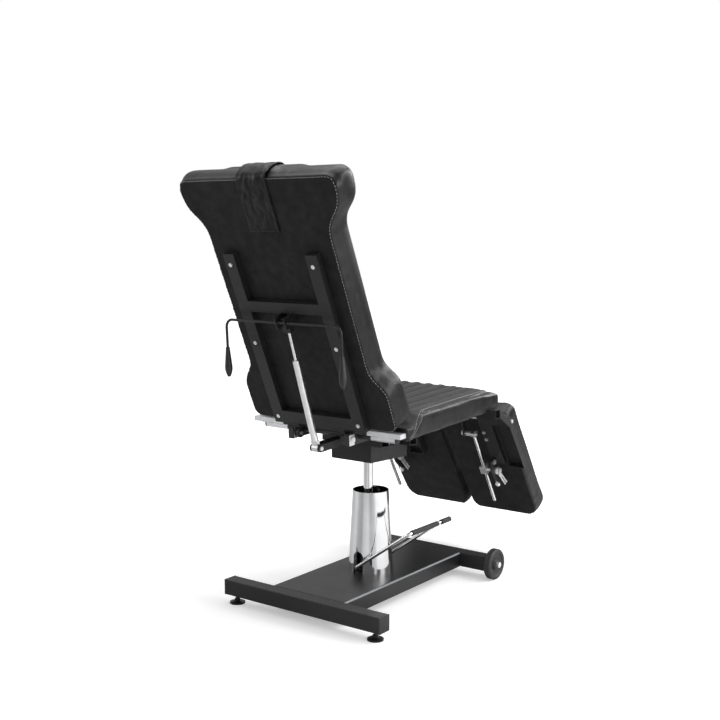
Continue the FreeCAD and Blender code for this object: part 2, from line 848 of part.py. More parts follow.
def housing_bolts():
    """Bolt heads on the housing's top, behind and in front of the channels."""
    bolts = []
    slope = math.degrees(math.atan2(size.housing_rear_high - size.housing_front_high,
                                    size.housing_rear + size.housing_front))
    for index, (sign, y) in enumerate((sign, y) for y in ("0", "-rear_channel_place / 2") for sign in (1, -1)):
        head = doc.addObject("Part::Cylinder", "housing_bolt_%d" % index)
        bind(head, Radius="housing_bolt_radius", Height="housing_bolt_tall")
        head.Placement = FreeCAD.Placement(FreeCAD.Vector(), FreeCAD.Rotation(X_AXIS, slope))
        put(head, (f"{sign} * housing_bolt_side", f"column_place + {y}", box_top(y)))
        bolts.append(head)
    node(group("housing_heads", *bolts), "housing_bolts")


# Seat frame, in the seat's own frame: Z is zero at the rails' underside
RAIL_Z = "rail_tall / 2"
PAN_Z = "(rail_tall + pan_thick / 2)"
SIDES = (("left", 1), ("right", -1))


def seat_rails():
    rails = []
    for side, sign in SIDES:
        x = f"{sign} * rail_side"
        long = "(rail_rear + rail_front)"
        y = "(rail_rear - rail_front) / 2"
        outside = box(side + "_rail_outside", "rail_wide", long, "rail_tall", (x, y, RAIL_Z))
        inside = box(side + "_rail_inside", "rail_wide - 2 * rail_wall", long + " + cut_over",
                     "rail_tall - 2 * rail_wall", (x, y, RAIL_Z))
        through = "rail_wide + 2 * cut_over"
        tube_hole = rod(side + "_tube_hole", "cross_tube_radius", through, "x",
                        (x, "cross_tube_place", "rail_tall - 1.2 * cross_tube_radius"))
        pin_hole = rod(side + "_pin_hole", "hinge_pin_radius", through, "x", (x, "hinge_place", RAIL_Z))
        rails.append(cut(side + "_rail", outside, inside, tube_hole, pin_hole))
    node(group("rails", *rails), "seat_rails", SEAT)


def seat_tube_caps():
    caps = []
    for side, sign in SIDES:
        y = "rail_rear + rail_cap_thick / 2"
        caps.append(box(f"{side}_rail_cap", "rail_wide", "rail_cap_thick", "rail_tall",
                        (f"{sign} * rail_side", y, RAIL_Z)))
        x = f"{sign} * (cross_tube_half + tube_plug_thick / 2)"
        caps.append(rod(f"{side}_tube_plug", "cross_tube_radius", "tube_plug_thick", "x",
                        (x, "cross_tube_place", "rail_tall - 1.2 * cross_tube_radius")))
    node(group("tube_caps", *caps), "seat_tube_caps", SEAT)


def cross_tube():
    at = ("0", "cross_tube_place", "rail_tall - cross_tube_drop_share * cross_tube_radius")
    outside = rod("tube_outside", "cross_tube_radius", "2 * cross_tube_half", "x", at)
    inner, long = "cross_tube_radius - cross_tube_wall", "2 * cross_tube_half + cut_over"
    inside = rod("tube_inside", inner, long, "x", at)
    node(cut("tube", outside, inside), "cross_tube", SEAT)


def seat_pan():
    """Tray under the cushion with a folded silver edge, open below between its lips."""
    y = "(pan_rear - pan_front) / 2"
    long = "(pan_rear + pan_front)"
    tray = box("pan_tray", "2 * pan_half", long, "pan_thick", ("0", y, PAN_Z))
    node(group("pan", tray), "seat_pan", SEAT)


def front_cross_bar():
    """Tube across the rails' front ends that carries both leg rests."""
    body = doc.addObject("PartDesign::Body", "leg_carrier")
    outside = sketch_on(body, "leg_carrier_outside", "YZ_Plane")
    y = "(-rail_front - front_bar_tall / 2)"
    z = "(rail_tall - front_bar_tall / 2)"
    rectangle(outside, "front_bar_tall", "front_bar_tall", y, z)
    pad(body, outside, f"2 * {BRACKET_OUTER} + leg_bracket_thick")
    inside = sketch_on(body, "leg_carrier_inside", "YZ_Plane")
    inner = "front_bar_tall - 2 * rail_wall"
    rectangle(inside, inner, inner, y, z)
    pocket(body, inside, f"2 * {BRACKET_OUTER} + leg_bracket_thick + cut_over")
    node(body, "front_cross_bar", SEAT)


def hinge_pins():
    """Headed pins through the rails for the backrest, and the gas spring's lower pin."""
    pins = []
    for side, sign in SIDES:
        long = "(rail_side + rail_wide / 2 - ear_side + 2 * rail_wall)"
        x = f"{sign} * (ear_side - 2 * rail_wall + {long} / 2)"
        shank = rod(side + "_hinge_shank", "hinge_pin_radius", long, "x", (x, "hinge_place", RAIL_Z))
        x = f"{sign} * (rail_side + rail_wide / 2 + hinge_pin_head_thick / 2)"
        head = rod(side + "_hinge_head", "hinge_pin_head", "hinge_pin_head_thick", "x",
                   (x, "hinge_place", RAIL_Z))
        pins.append(fuse(side + "_hinge_pin", shank, head))
    at = ("0", "spring_foot_place", "-spring_foot_drop")
    across = "2 * (fork_half + fork_thick)"
    shank = rod("spring_foot_shank", "spring_pin_radius", across, "x", at)
    heads = [
        rod(f"spring_foot_{side}", "spring_pin_head", "hinge_pin_head_thick", "x",
            (f"{sign} * (fork_half + fork_thick + hinge_pin_head_thick / 2)", at[1], at[2]))
        for side, sign in SIDES
    ]
    pins.append(fuse("spring_foot_pin", shank, *heads))
    node(group("pins", *pins), "hinge_pins", SEAT)


def spring_fork():
    """Two round-ended arms behind the rear channel that hold the gas spring's foot."""
    foot = SEAT.multVec(vector("0", "spring_foot_place", "-spring_foot_drop"))
    start = "(column_place + rear_channel_place + channel_wide)"
    fall = math.tan(math.radians(size.seat_tilt))
    front_z = foot.z + (foot.y - number(start)) * fall
    radius = size.fork_radius
    tilt = math.radians(size.seat_tilt)
    lean = FreeCAD.Vector(0, math.sin(tilt), math.cos(tilt)) * radius
    arms = []
    for side, sign in SIDES:
        x = sign * (size.fork_half + size.fork_thick / 2) - size.fork_thick / 2
        shift = FreeCAD.Vector(x, 0, 0)
        low_front = FreeCAD.Vector(0, number(start), front_z - radius)
        high_front = FreeCAD.Vector(0, number(start), front_z + radius)
        path = [
            Part.LineSegment(low_front, foot - lean).toShape(),
            Part.Arc(foot - lean, foot + FreeCAD.Vector(0, radius, 0), foot + lean).toShape(),
            Part.LineSegment(foot + lean, high_front).toShape(),
            Part.LineSegment(high_front, low_front).toShape(),
        ]
        face = Part.Face(Part.Wire(path))
        face.translate(shift)
        arm = face.extrude(FreeCAD.Vector(size.fork_thick, 0, 0))
        hole = Part.makeCylinder(size.spring_pin_radius, size.fork_thick, foot + shift, X_AXIS)
        arms.append(arm.cut(hole))
    node(shaped("fork", Part.Compound(arms)), "spring_fork")


# Leg carriers: places in the leg rests' frame, seen from the seat
PROP_PIN = LEG.multVec(vector("0", "prop_pin_out", "prop_pin_rise"))
LEGS = (("right", "0", -1), ("left", "leg_shift", 1))


def plate_shape(points, thick, x):
    """A plate across X from an outline of places."""
    wire = Part.makePolygon(points + points[:1])
    face = Part.Face(wire)
    face.translate(FreeCAD.Vector(x, 0, 0))
    return face.extrude(FreeCAD.Vector(thick, 0, 0))


def leg_brackets():
    """Plates from the front cross bar to the leg hinge; the inner ones reach down to the prop pin."""
    plates = []
    face_y = -size.rail_front - size.front_bar_tall
    high = SEAT.multVec(FreeCAD.Vector(0, face_y, size.rail_tall - size.seat_skirt - size.cut_over))
    low = SEAT.multVec(FreeCAD.Vector(0, face_y, size.rail_tall - size.front_bar_tall))
    around, foot_round = size.hinge_round, size.prop_round
    for side, shift, sign in LEGS:
        for kind, place in (("inner", "leg_bracket_inner"), ("outer", BRACKET_OUTER)):
            x = number(f"-({place}) + {shift}") - size.leg_bracket_thick / 2
            short = plate_shape(
                [high, low, LEG_HINGE + FreeCAD.Vector(0, around, -2 * around),
                 LEG_HINGE - Y_AXIS * around, LEG_HINGE + Z_AXIS * around,
                 LEG_HINGE + FreeCAD.Vector(0, size.bracket_reach_share * around, around)],
                size.leg_bracket_thick, x)
            hub = Part.makeCylinder(around, size.leg_bracket_thick,
                                    LEG_HINGE + FreeCAD.Vector(x, 0, 0), X_AXIS)
            plate = short.fuse(hub)
            if kind == "inner":
                tongue = plate_shape(
                    [LEG_HINGE + Y_AXIS * around, PROP_PIN + Y_AXIS * foot_round,
                     PROP_PIN - Y_AXIS * foot_round, LEG_HINGE - Y_AXIS * around],
                    size.leg_bracket_thick, x)
                foot = Part.makeCylinder(foot_round, size.leg_bracket_thick,
                                         PROP_PIN + FreeCAD.Vector(x, 0, 0), X_AXIS)
                hole = Part.makeCylinder(size.prop_pin_radius, size.leg_bracket_thick,
                                         PROP_PIN + FreeCAD.Vector(x, 0, 0), X_AXIS)
                plate = plate.fuse(tongue).fuse(foot).cut(hole)
            bore = Part.makeCylinder(size.shaft_radius, size.leg_bracket_thick,
                                     LEG_HINGE + FreeCAD.Vector(x, 0, 0), X_AXIS)
            plates.append(plate.cut(bore).removeSplitter())
    node(shaped("brackets", Part.Compound(plates)), "leg_brackets")


def leg_pins():
    """Hinge shafts of both leg rests, and the headed pins that hold the prop rods."""
    pins = []
    hinge = ("leg_bar_deep / 2", "leg_hinge_rise")
    prop = ("prop_pin_out", "prop_pin_rise")
    for side, shift, sign in LEGS:
        long = f"{BRACKET_OUTER} - leg_bracket_inner + leg_bracket_thick + nut_thick"
        mid = f"{shift} - ({BRACKET_OUTER} + leg_bracket_inner) / 2"
        pins.append(rod(side + "_leg_shaft", "shaft_radius", long, "x", (mid, *hinge)))
        start = "(leg_bracket_inner - leg_bracket_thick / 2 - nut_thick)"
        end = "(prop_side + prop_eye_wide)"
        shank = rod(side + "_prop_shank", "prop_pin_radius", f"{end} - {start}", "x",
                    (f"{shift} - ({start} + {end}) / 2", *prop))
        nut = rod(side + "_prop_nut", "nut_radius", "nut_thick", "x",
                  (f"{shift} - {start} - nut_thick / 2", *prop))
        rest = "(leg_bracket_inner + leg_bracket_thick / 2)"
        spacer_long = f"prop_side - prop_eye_wide / 2 - running_gap * 6 - {rest}"
        spacer = rod(side + "_prop_spacer", "nut_radius", spacer_long, "x",
                     (f"{shift} - {rest} - ({spacer_long}) / 2", *prop))
        washer = rod(side + "_prop_washer", "washer_radius", "washer_thick", "x",
                     (f"{shift} - prop_side - prop_eye_wide / 2 - running_gap * 6 - washer_thick / 2", *prop))
        pins.append(fuse(side + "_prop_pin", shank, nut, spacer, washer))
    node(group("leg_axles", *pins), "leg_pins", LEG)


def extruded(wire_edges, along):
    """A solid pulled out of a closed outline."""
    return Part.Face(Part.Wire(wire_edges)).extrude(along)


def arc(start, middle, end):
    return Part.Arc(start, middle, end).toShape()


def line(start, end):
    return Part.LineSegment(start, end).toShape()


def rounded_outline(points, radii, flat):
    """A closed outline of straight edges whose corners are rounded; flat maps its two axes to space."""
    count = len(points)
    edges = []
    trims = []
    for index in range(count):
        corner = points[index]
        into = (points[index - 1] - corner).normalize()
        out = (points[(index + 1) % count] - corner).normalize()
        half = into.getAngle(out) / 2
        radius = radii[index]
        trim = radius / math.tan(half)
        middle = corner + (into + out).normalize() * (radius / math.sin(half) - radius)
        trims.append((corner + into * trim, middle, corner + out * trim, radius))
    for index in range(count):
        first, middle, last, radius = trims[index]
        if radius:
            edges.append(arc(flat(first), flat(middle), flat(last)))
        following = trims[(index + 1) % count][0]
        edges.append(line(flat(last), flat(following)))
    return edges


def seat_cushion():
    """Pleated cushion: the across, side and plan outlines cut one another."""
    half = size.seat_half
    low = size.rail_tall - size.seat_skirt
    edge_top = low + size.seat_side_tall
    soft = size.cushion_edge
    front, rear = size.seat_front, size.seat_rear_low + size.cut_over
    # Across: a crowned top made of pleats between two plain borders
    pleats_half = size.pleat_count * size.pleat_pitch / 2
    def crown(x):
        return edge_top + size.seat_crown * (1 - (x / half) ** 2)
    def place(x, z):
        return FreeCAD.Vector(x, -front, z)
    edges = [line(place(half, low), place(half, edge_top - soft))]
    knee = place(half - soft * (1 - math.sqrt(0.5)), edge_top - soft * (1 - math.sqrt(0.5)))
    edges.append(arc(place(half, edge_top - soft), knee, place(half - soft, edge_top)))
    edges.append(arc(place(half - soft, edge_top),
                     place((half - soft + pleats_half) / 2, crown((half - soft + pleats_half) / 2)),
                     place(pleats_half, crown(pleats_half) - size.pleat_deep)))
    for index in range(int(size.pleat_count)):
        start = pleats_half - index * size.pleat_pitch
        end = start - size.pleat_pitch
        middle = (start + end) / 2
        edges.append(arc(place(start, crown(start) - size.pleat_deep), place(middle, crown(middle)),
                         place(end, crown(end) - size.pleat_deep)))
    edges.append(arc(place(-pleats_half, crown(pleats_half) - size.pleat_deep),
                     place(-(half - soft + pleats_half) / 2, crown((half - soft + pleats_half) / 2)),
                     place(soft - half, edge_top)))
    knee = place(-knee.x, knee.z)
    edges.append(arc(place(soft - half, edge_top), knee, place(-half, edge_top - soft)))
    edges.append(line(place(-half, edge_top - soft), place(-half, low)))
    edges.append(line(place(-half, low), place(half, low)))
    across = extruded(edges, FreeCAD.Vector(0, front + rear, 0))
    # From the side: rounded front, slanting rear
    top = edge_top + size.seat_crown
    side_points = [
        FreeCAD.Vector(-front, low, 0), FreeCAD.Vector(size.seat_rear_low, low, 0),
        FreeCAD.Vector(size.seat_rear_high - soft, top + size.cut_over, 0),
        FreeCAD.Vector(-front, top + size.cut_over / 2, 0),
    ]
    side_radii = (soft / 2, soft / 2, size.seat_corner / 2, size.seat_corner)
    side = extruded(rounded_outline(side_points, side_radii,
                    lambda point: FreeCAD.Vector(-half - size.cut_over, point.x, point.y)),
                    FreeCAD.Vector(2 * (half + size.cut_over), 0, 0))
    # From above: rounded front corners
    plan_points = [
        FreeCAD.Vector(-half, -front, 0), FreeCAD.Vector(half, -front, 0),
        FreeCAD.Vector(half, rear, 0), FreeCAD.Vector(-half, rear, 0),
    ]
    plan_radii = (size.seat_plan_corner, size.seat_plan_corner, soft, soft)
    plan = extruded(rounded_outline(plan_points, plan_radii,
                    lambda point: FreeCAD.Vector(point.x, point.y, low - size.cut_over)),
                    FreeCAD.Vector(0, 0, top - low + 4 * size.cut_over))
    cushion = across.common(side).common(plan)
    # The skirt wraps the pan's edge
    pan = Part.makeBox(
        2 * (size.pan_half + size.soft_gap), size.pan_rear + size.pan_front + 2 * size.soft_gap,
        size.pan_thick + size.seat_skirt + size.cut_over + size.soft_gap,
        FreeCAD.Vector(-size.pan_half - size.soft_gap, -size.pan_front - size.soft_gap,
                       low - size.cut_over))
    # The skirt is relieved where the front cross bar passes under it
    relief = Part.makeBox(
        2 * (half + size.cut_over), size.front_bar_tall + 2 * size.soft_gap,
        size.seat_skirt + size.cut_over + size.soft_gap,
        FreeCAD.Vector(-half - size.cut_over, -size.rail_front - size.front_bar_tall - size.soft_gap,
                       low - size.cut_over))
    node(shaped("cushion", cushion.cut([pan, relief])), "seat_cushion", SEAT)


# Backrest frame, in the backrest's own frame: Y is zero on the rails' rear face
END_SWELL_SHARE = 0.55
DEPTH_SHARES = (0, 0.15, 0.45, 0.8, 1)
SWELL_SHARES = (0, 0.75, 1, 0.6, -0.4)
RAIL_FACE = "0"
RAIL_MID = "(-back_rail_deep / 2)"
SCREW_PLACES = [
    (f"{sign} * back_rail_side", f"{index} * back_screw_pitch") for index in range(3) for sign in (1, -1)
]


def back_rails():
    rails = []
    tall = "(back_rail_high + back_rail_low)"
    z = "(back_rail_high - back_rail_low) / 2"
    for side, sign in SIDES:
        x = f"{sign} * back_rail_side"
        outside = box(side + "_upright", "back_rail_wide", "back_rail_deep", tall, (x, RAIL_MID, z))
        inside = box(side + "_upright_inside", "back_rail_wide - 2 * rail_wall",
                     "back_rail_deep - 2 * rail_wall", f"{tall} - 2 * rail_wall", (x, RAIL_MID, z))
        places = [place for place in SCREW_PLACES if place[0] == x]
        bores = holes(side + "_upright_hole", places, "screw_shank", "back_rail_deep + 2 * cut_over", RAIL_MID)
        rails.append(cut(side + "_back_rail", outside, inside, *bores))
    node(group("uprights", *rails), "back_rails", BACK)


def back_cross_tubes():
    inner_half = "(back_rail_side - back_rail_wide / 2)"
    tubes = []
    for name, low, tall in (("upper", "upper_tube_low", "upper_tube_tall"),
                            ("lower", "(-lower_tube_tall / 2)", "lower_tube_tall")):
        body = doc.addObject("PartDesign::Body", name + "_cross_body")
        outside = sketch_on(body, name + "_cross_outside", "YZ_Plane")
        rectangle(outside, "back_rail_deep", tall, RAIL_MID, f"{low} + {tall} / 2")
        pad(body, outside, f"2 * {inner_half}")
        inside = sketch_on(body, name + "_cross_inside", "YZ_Plane")
        rectangle(inside, "back_rail_deep - 2 * rail_wall", f"{tall} - 2 * rail_wall", RAIL_MID,
                  f"{low} + {tall} / 2")
        pocket(body, inside, f"2 * {inner_half} + cut_over")
        tubes.append(body)
    node(group("crossings", *tubes), "back_cross_tubes", BACK)


def hinge_ears():
    """Plates under the lower cross tube, bored for the hinge pins."""
    ears = []
    top = "(-lower_tube_tall / 2)"
    tall = f"({top} + back_hinge_drop)"
    for side, sign in SIDES:
        x = f"{sign} * (ear_side + ear_thick / 2)"
        web = box(side + "_ear_web", "ear_thick", "back_rail_deep / 2", tall,
                  (x, "-back_rail_deep / 4", f"{top} - {tall} / 2"))
        knuckle = rod(side + "_ear_knuckle", "ear_radius", "ear_thick", "x", (x, "0", "-back_hinge_drop"))
        bore = rod(side + "_ear_bore", "hinge_pin_radius + running_gap", "ear_thick + cut_over", "x",
                   (x, "0", "-back_hinge_drop"))
        ears.append(cut(side + "_ear", fuse(side + "_ear_solid", web, knuckle), bore))
    node(group("ears", *ears), "hinge_ears", BACK)


def spring_bracket():
    """Folded bracket under the upper cross tube: it holds the spring's head pin and the release bar."""
    tall = "(upper_tube_low - bracket_low)"
    z = f"(bracket_low + {tall} / 2)"
    outer_deep = "(back_rail_deep + bracket_out)"
    y = f"({outer_deep} / 2 - back_rail_deep)"
    block = box("bracket_block", "2 * bracket_half", outer_deep, tall, ("0", y, z))
    space = box("bracket_space", "2 * (bracket_half - bracket_sheet)", outer_deep, tall + " + 2 * cut_over",
                ("0", y + " + bracket_sheet", z))
    pin_hole = rod("bracket_pin_hole", "spring_pin_radius", "2 * bracket_half + cut_over", "x",
                   ("0", "spring_head_out", "spring_head_rise"))
    bar_hole = rod("bracket_bar_hole", "release_radius + running_gap", "2 * bracket_half + cut_over", "x",
                   ("0", "release_out", "release_rise"))
    folded = cut("bracket_folded", block, space, pin_hole, bar_hole)
    shank = rod("head_pin_shank", "spring_pin_radius", "2 * bracket_half", "x",
                ("0", "spring_head_out", "spring_head_rise"))
    heads = [
        rod(f"head_pin_{side}", "spring_pin_head", "hinge_pin_head_thick", "x",
            (f"{sign} * (bracket_half + hinge_pin_head_thick / 2)", "spring_head_out", "spring_head_rise"))
        for side, sign in SIDES
    ]
    pin = fuse("head_pin", shank, *heads)
    node(group("bracket_and_pin", folded, pin), "spring_bracket", BACK)


def back_screws():
    screw_heads("back_screws", SCREW_PLACES, "screw_radius", "screw_head", "screw_shank",
                "back_rail_deep + panel_thick / 2", RAIL_FACE, BACK)


def s_curve(start, end):
    """A smooth change of width between two vertical tangents."""
    middle = (start.z + end.z) / 2
    curve = Part.BezierCurve()
    curve.setPoles([start, FreeCAD.Vector(start.x, start.y, middle),
                    FreeCAD.Vector(end.x, end.y, middle), end])
    return curve.toShape()


def back_outline(swell, y):
    """The backrest's closed outline in the plane at y, swollen out from the seam: waisted, rounded corners."""
    ends = swell * END_SWELL_SHARE
    low = -size.back_foot_below
    high = size.back_top + swell
    corner = size.back_corner
    bow = corner * (1 - math.sqrt(0.5))

    def at(x, z):
        return FreeCAD.Vector(x, y, z)
    foot, waist, top = size.back_foot_half + ends, size.back_waist_half + swell, size.back_top_half + ends
    edges = [
        line(at(foot, low + corner), at(foot, size.back_foot_rise)),
        s_curve(at(foot, size.back_foot_rise), at(waist, size.back_waist_low)),
        line(at(waist, size.back_waist_low), at(waist, size.back_waist_high)),
        s_curve(at(waist, size.back_waist_high), at(top, size.back_top_rise)),
        line(at(top, size.back_top_rise), at(top, high - corner)),
        arc(at(top, high - corner), at(top - bow, high - bow), at(top - corner, high)),
        line(at(top - corner, high), at(corner - top, high)),
        arc(at(corner - top, high), at(bow - top, high - bow), at(-top, high - corner)),
        line(at(-top, high - corner), at(-top, size.back_top_rise)),
        s_curve(at(-top, size.back_top_rise), at(-waist, size.back_waist_high)),
        line(at(-waist, size.back_waist_high), at(-waist, size.back_waist_low)),
        s_curve(at(-waist, size.back_waist_low), at(-foot, size.back_foot_rise)),
        line(at(-foot, size.back_foot_rise), at(-foot, low + corner)),
        arc(at(-foot, low + corner), at(bow - foot, low + bow), at(corner - foot, low)),
        line(at(corner - foot, low), at(foot - corner, low)),
        arc(at(foot - corner, low), at(foot - bow, low + bow), at(foot, low + corner)),
    ]
    return Part.Wire(edges)


def back_panel():
    panel = Part.Face(back_outline(0, -size.back_rail_deep)).extrude(
        FreeCAD.Vector(0, -size.panel_thick, 0))
    for x, z in SCREW_PLACES:
        start = FreeCAD.Vector(number(x), -size.back_rail_deep - size.panel_thick / 2, number(z))
        panel = panel.cut(Part.makeCylinder(size.screw_shank, size.panel_thick, start, Y_AXIS))
    node(shaped("panel", panel), "back_panel", BACK)


def back_cushion():
    """Crowned cushion: it swells out from the seam and draws in again towards its front."""
    seam = -size.back_rail_deep - size.panel_thick
    wires = [
        back_outline(size.back_bulge * swell_share, seam - depth_share * size.back_thick)
        for depth_share, swell_share in zip(DEPTH_SHARES, SWELL_SHARES)
    ]
    body = Part.makeLoft(wires, True, True)
    node(shaped("back_foam", body), "back_cushion", BACK)


def head_strap():
    """Leather band over the backrest's top; its rear flap hangs down behind the panel."""
    rear = -size.back_rail_deep + size.soft_gap
    front = -size.back_rail_deep - size.panel_thick - size.back_thick - size.soft_gap
    top = size.back_top + 2 * size.soft_gap
    thick = size.strap_thick
    foot = size.back_top - size.strap_drop
    pillow_top = size.back_top - size.pillow_drop
    seam = -size.back_rail_deep - size.panel_thick
    over = [
        (seam - depth_share * size.back_thick, top + swell_share * size.back_bulge)
        for depth_share, swell_share in list(zip(DEPTH_SHARES, SWELL_SHARES))[1:4]
    ]
    inner = [
        (rear, foot), (rear, top), *over, (front, top + SWELL_SHARES[-1] * size.back_bulge),
        (front, pillow_top - size.pillow_tall / 2),
    ]
    grow = [(thick, 0), (thick, thick / 2), *[(0, thick)] * 3, (-thick, thick / 2), (-thick, 0)]
    outer = [(y + dy, z + dz) for (y, z), (dy, dz) in zip(inner, grow)]
    ring = [FreeCAD.Vector(-size.strap_half, y, z) for y, z in inner + outer[::-1]]
    face = Part.Face(Part.makePolygon(ring + ring[:1]))
    band = face.extrude(FreeCAD.Vector(2 * size.strap_half, 0, 0))
    node(shaped("band", band), "head_strap", BACK)


PILLOW_PLACE_SHARES = (-1, -0.85, 0, 0.85, 1)
PILLOW_SCALE_SHARES = (0.55, 0.92, 1, 0.92, 0.55)


def head_pillow():
    """Small neck pillow that the strap holds on the cushion's front."""
    rear = -size.back_rail_deep - size.panel_thick - size.back_thick - size.strap_thick - 2 * size.soft_gap
    half_tall = size.pillow_tall / 2
    middle = size.back_top - size.pillow_drop - half_tall
    wires = []
    for place_share, scale_share in zip(PILLOW_PLACE_SHARES, PILLOW_SCALE_SHARES):
        centre = FreeCAD.Vector(place_share * size.pillow_half, rear, middle)
        high = centre + Z_AXIS * (half_tall * scale_share)
        low = centre - Z_AXIS * (half_tall * scale_share)
        swollen = centre - Y_AXIS * (size.pillow_thick * scale_share)
        wires.append(Part.Wire([line(low, high), arc(high, swollen, low)]))
    node(shaped("pillow", Part.makeLoft(wires, True, True)), "head_pillow", BACK)


# Gas spring, in a frame whose Z axis runs from its foot pin to its head pin
SPRING_FOOT = SEAT.multVec(vector("0", "spring_foot_place", "-spring_foot_drop"))
SPRING_HEAD = BACK.multVec(vector("0", "spring_head_out", "spring_head_rise"))
SPRING_LONG = SPRING_FOOT.distanceToPoint(SPRING_HEAD)
SPRING = FreeCAD.Placement(SPRING_FOOT, FreeCAD.Rotation(Z_AXIS, SPRING_HEAD - SPRING_FOOT))


def gas_spring():
    tube_points = [
        ("0", "spring_body_low"), ("spring_body_radius", "spring_body_low"),
        ("spring_body_radius", "spring_body_high"),
        ("spring_rod_radius + running_gap", "spring_body_high"),
        ("spring_rod_radius + running_gap", "spring_body_high - spring_bore_deep"),
        ("0", "spring_body_high - spring_bore_deep"),
    ]
    tube = revolved("spring_tube", tube_points, LEVEL)
    eye_wide = "2 * (fork_half - soft_gap)"
    eye = rod("spring_eye", "spring_eye_radius", eye_wide, "x", ("0", "0", "0"))
    neck = box("spring_neck", eye_wide, "spring_eye_radius", "spring_body_low",
               ("0", "0", "spring_body_low / 2"))
    bore = rod("spring_eye_bore", "spring_pin_radius + running_gap", "4 * fork_half", "x", ("0", "0", "0"))
    node(cut("spring_cylinder", fuse("spring_solid", tube, eye, neck), bore), "gas_spring_body", SPRING)
    start = "(spring_body_high - spring_rod_inside)"
    rod_long = f"spring_head_low - {start}"
    shaft = rod("spring_shaft", "spring_rod_radius", rod_long, "z", ("0", "0", f"{start} + ({rod_long}) / 2"))
    node(group("spring_rod_only", shaft), "gas_spring_rod", SPRING)
    wide = 2 * (size.bracket_half - size.bracket_sheet - size.soft_gap)
    half = size.spring_head_half
    slot = size.spring_pin_radius + size.spring_slot_gap
    ends = (-size.spring_slot_in, size.spring_slot_out)

    def stadium(radius):
        rounds = [
            Part.makeCylinder(radius, wide, FreeCAD.Vector(-wide / 2, y, SPRING_LONG), X_AXIS) for y in ends
        ]
        middle = Part.makeBox(wide, ends[1] - ends[0], 2 * radius,
                              FreeCAD.Vector(-wide / 2, ends[0], SPRING_LONG - radius))
        return rounds[0].fuse([rounds[1], middle])
    block = Part.makeBox(wide, 2 * half, SPRING_LONG - size.spring_head_low,
                         FreeCAD.Vector(-wide / 2, -half, size.spring_head_low))
    head = stadium(slot + size.spring_slot_wall).fuse(block).cut(stadium(slot))
    node(shaped("head", head.removeSplitter()), "release_head", SPRING)


GRIP_WIDEST_SHARE = 0.62
GRIP_SHOULDER_SHARES = (0.86, 0.92)


def release_bar():
    """One bent bar across the backrest, with a hand grip at each end."""
    rise, out = size.release_rise, size.release_out
    half = size.release_half
    end_rise, end_out = rise - size.grip_drop, out + size.grip_out
    points = [
        FreeCAD.Vector(half, end_out, end_rise), FreeCAD.Vector(half, out, rise),
        FreeCAD.Vector(-half, out, rise), FreeCAD.Vector(-half, end_out, end_rise),
    ]
    node(shaped("bar", bent_rod(points, size.release_radius, size.release_bend)), "release_bar", BACK)
    grips = []
    down = FreeCAD.Vector(0, size.grip_out, -size.grip_drop).normalize()
    for side, sign in SIDES:
        tip = FreeCAD.Vector(sign * half, end_out, end_rise)
        start = tip - down * size.grip_long
        along = FreeCAD.Rotation(Z_AXIS, down)
        long = size.grip_long
        radius, neck, core = size.grip_radius, size.grip_neck, size.release_radius
        profile = [
            FreeCAD.Vector(core, 0, 0), FreeCAD.Vector(neck, 0, 0),
            FreeCAD.Vector(radius, 0, long * GRIP_WIDEST_SHARE),
        ]
        shoulder = FreeCAD.Vector(radius * GRIP_SHOULDER_SHARES[0], 0, long * GRIP_SHOULDER_SHARES[1])
        edges = [
            line(profile[0], profile[1]), line(profile[1], profile[2]),
            arc(profile[2], shoulder, FreeCAD.Vector(core, 0, long + neck)),
            line(FreeCAD.Vector(core, 0, long + neck), FreeCAD.Vector(0, 0, long + neck)),
            line(FreeCAD.Vector(0, 0, long + neck), FreeCAD.Vector(0, 0, long)),
            line(FreeCAD.Vector(0, 0, long), FreeCAD.Vector(core, 0, long)),
            line(FreeCAD.Vector(core, 0, long), profile[0]),
        ]
        grip = Part.Face(Part.Wire(edges)).revolve(FreeCAD.Vector(), Z_AXIS, FULL_TURN)
        grip.Placement = FreeCAD.Placement(start, along)
        grips.append(grip)
    node(shaped("grips", Part.Compound(grips)), "release_grips", BACK)


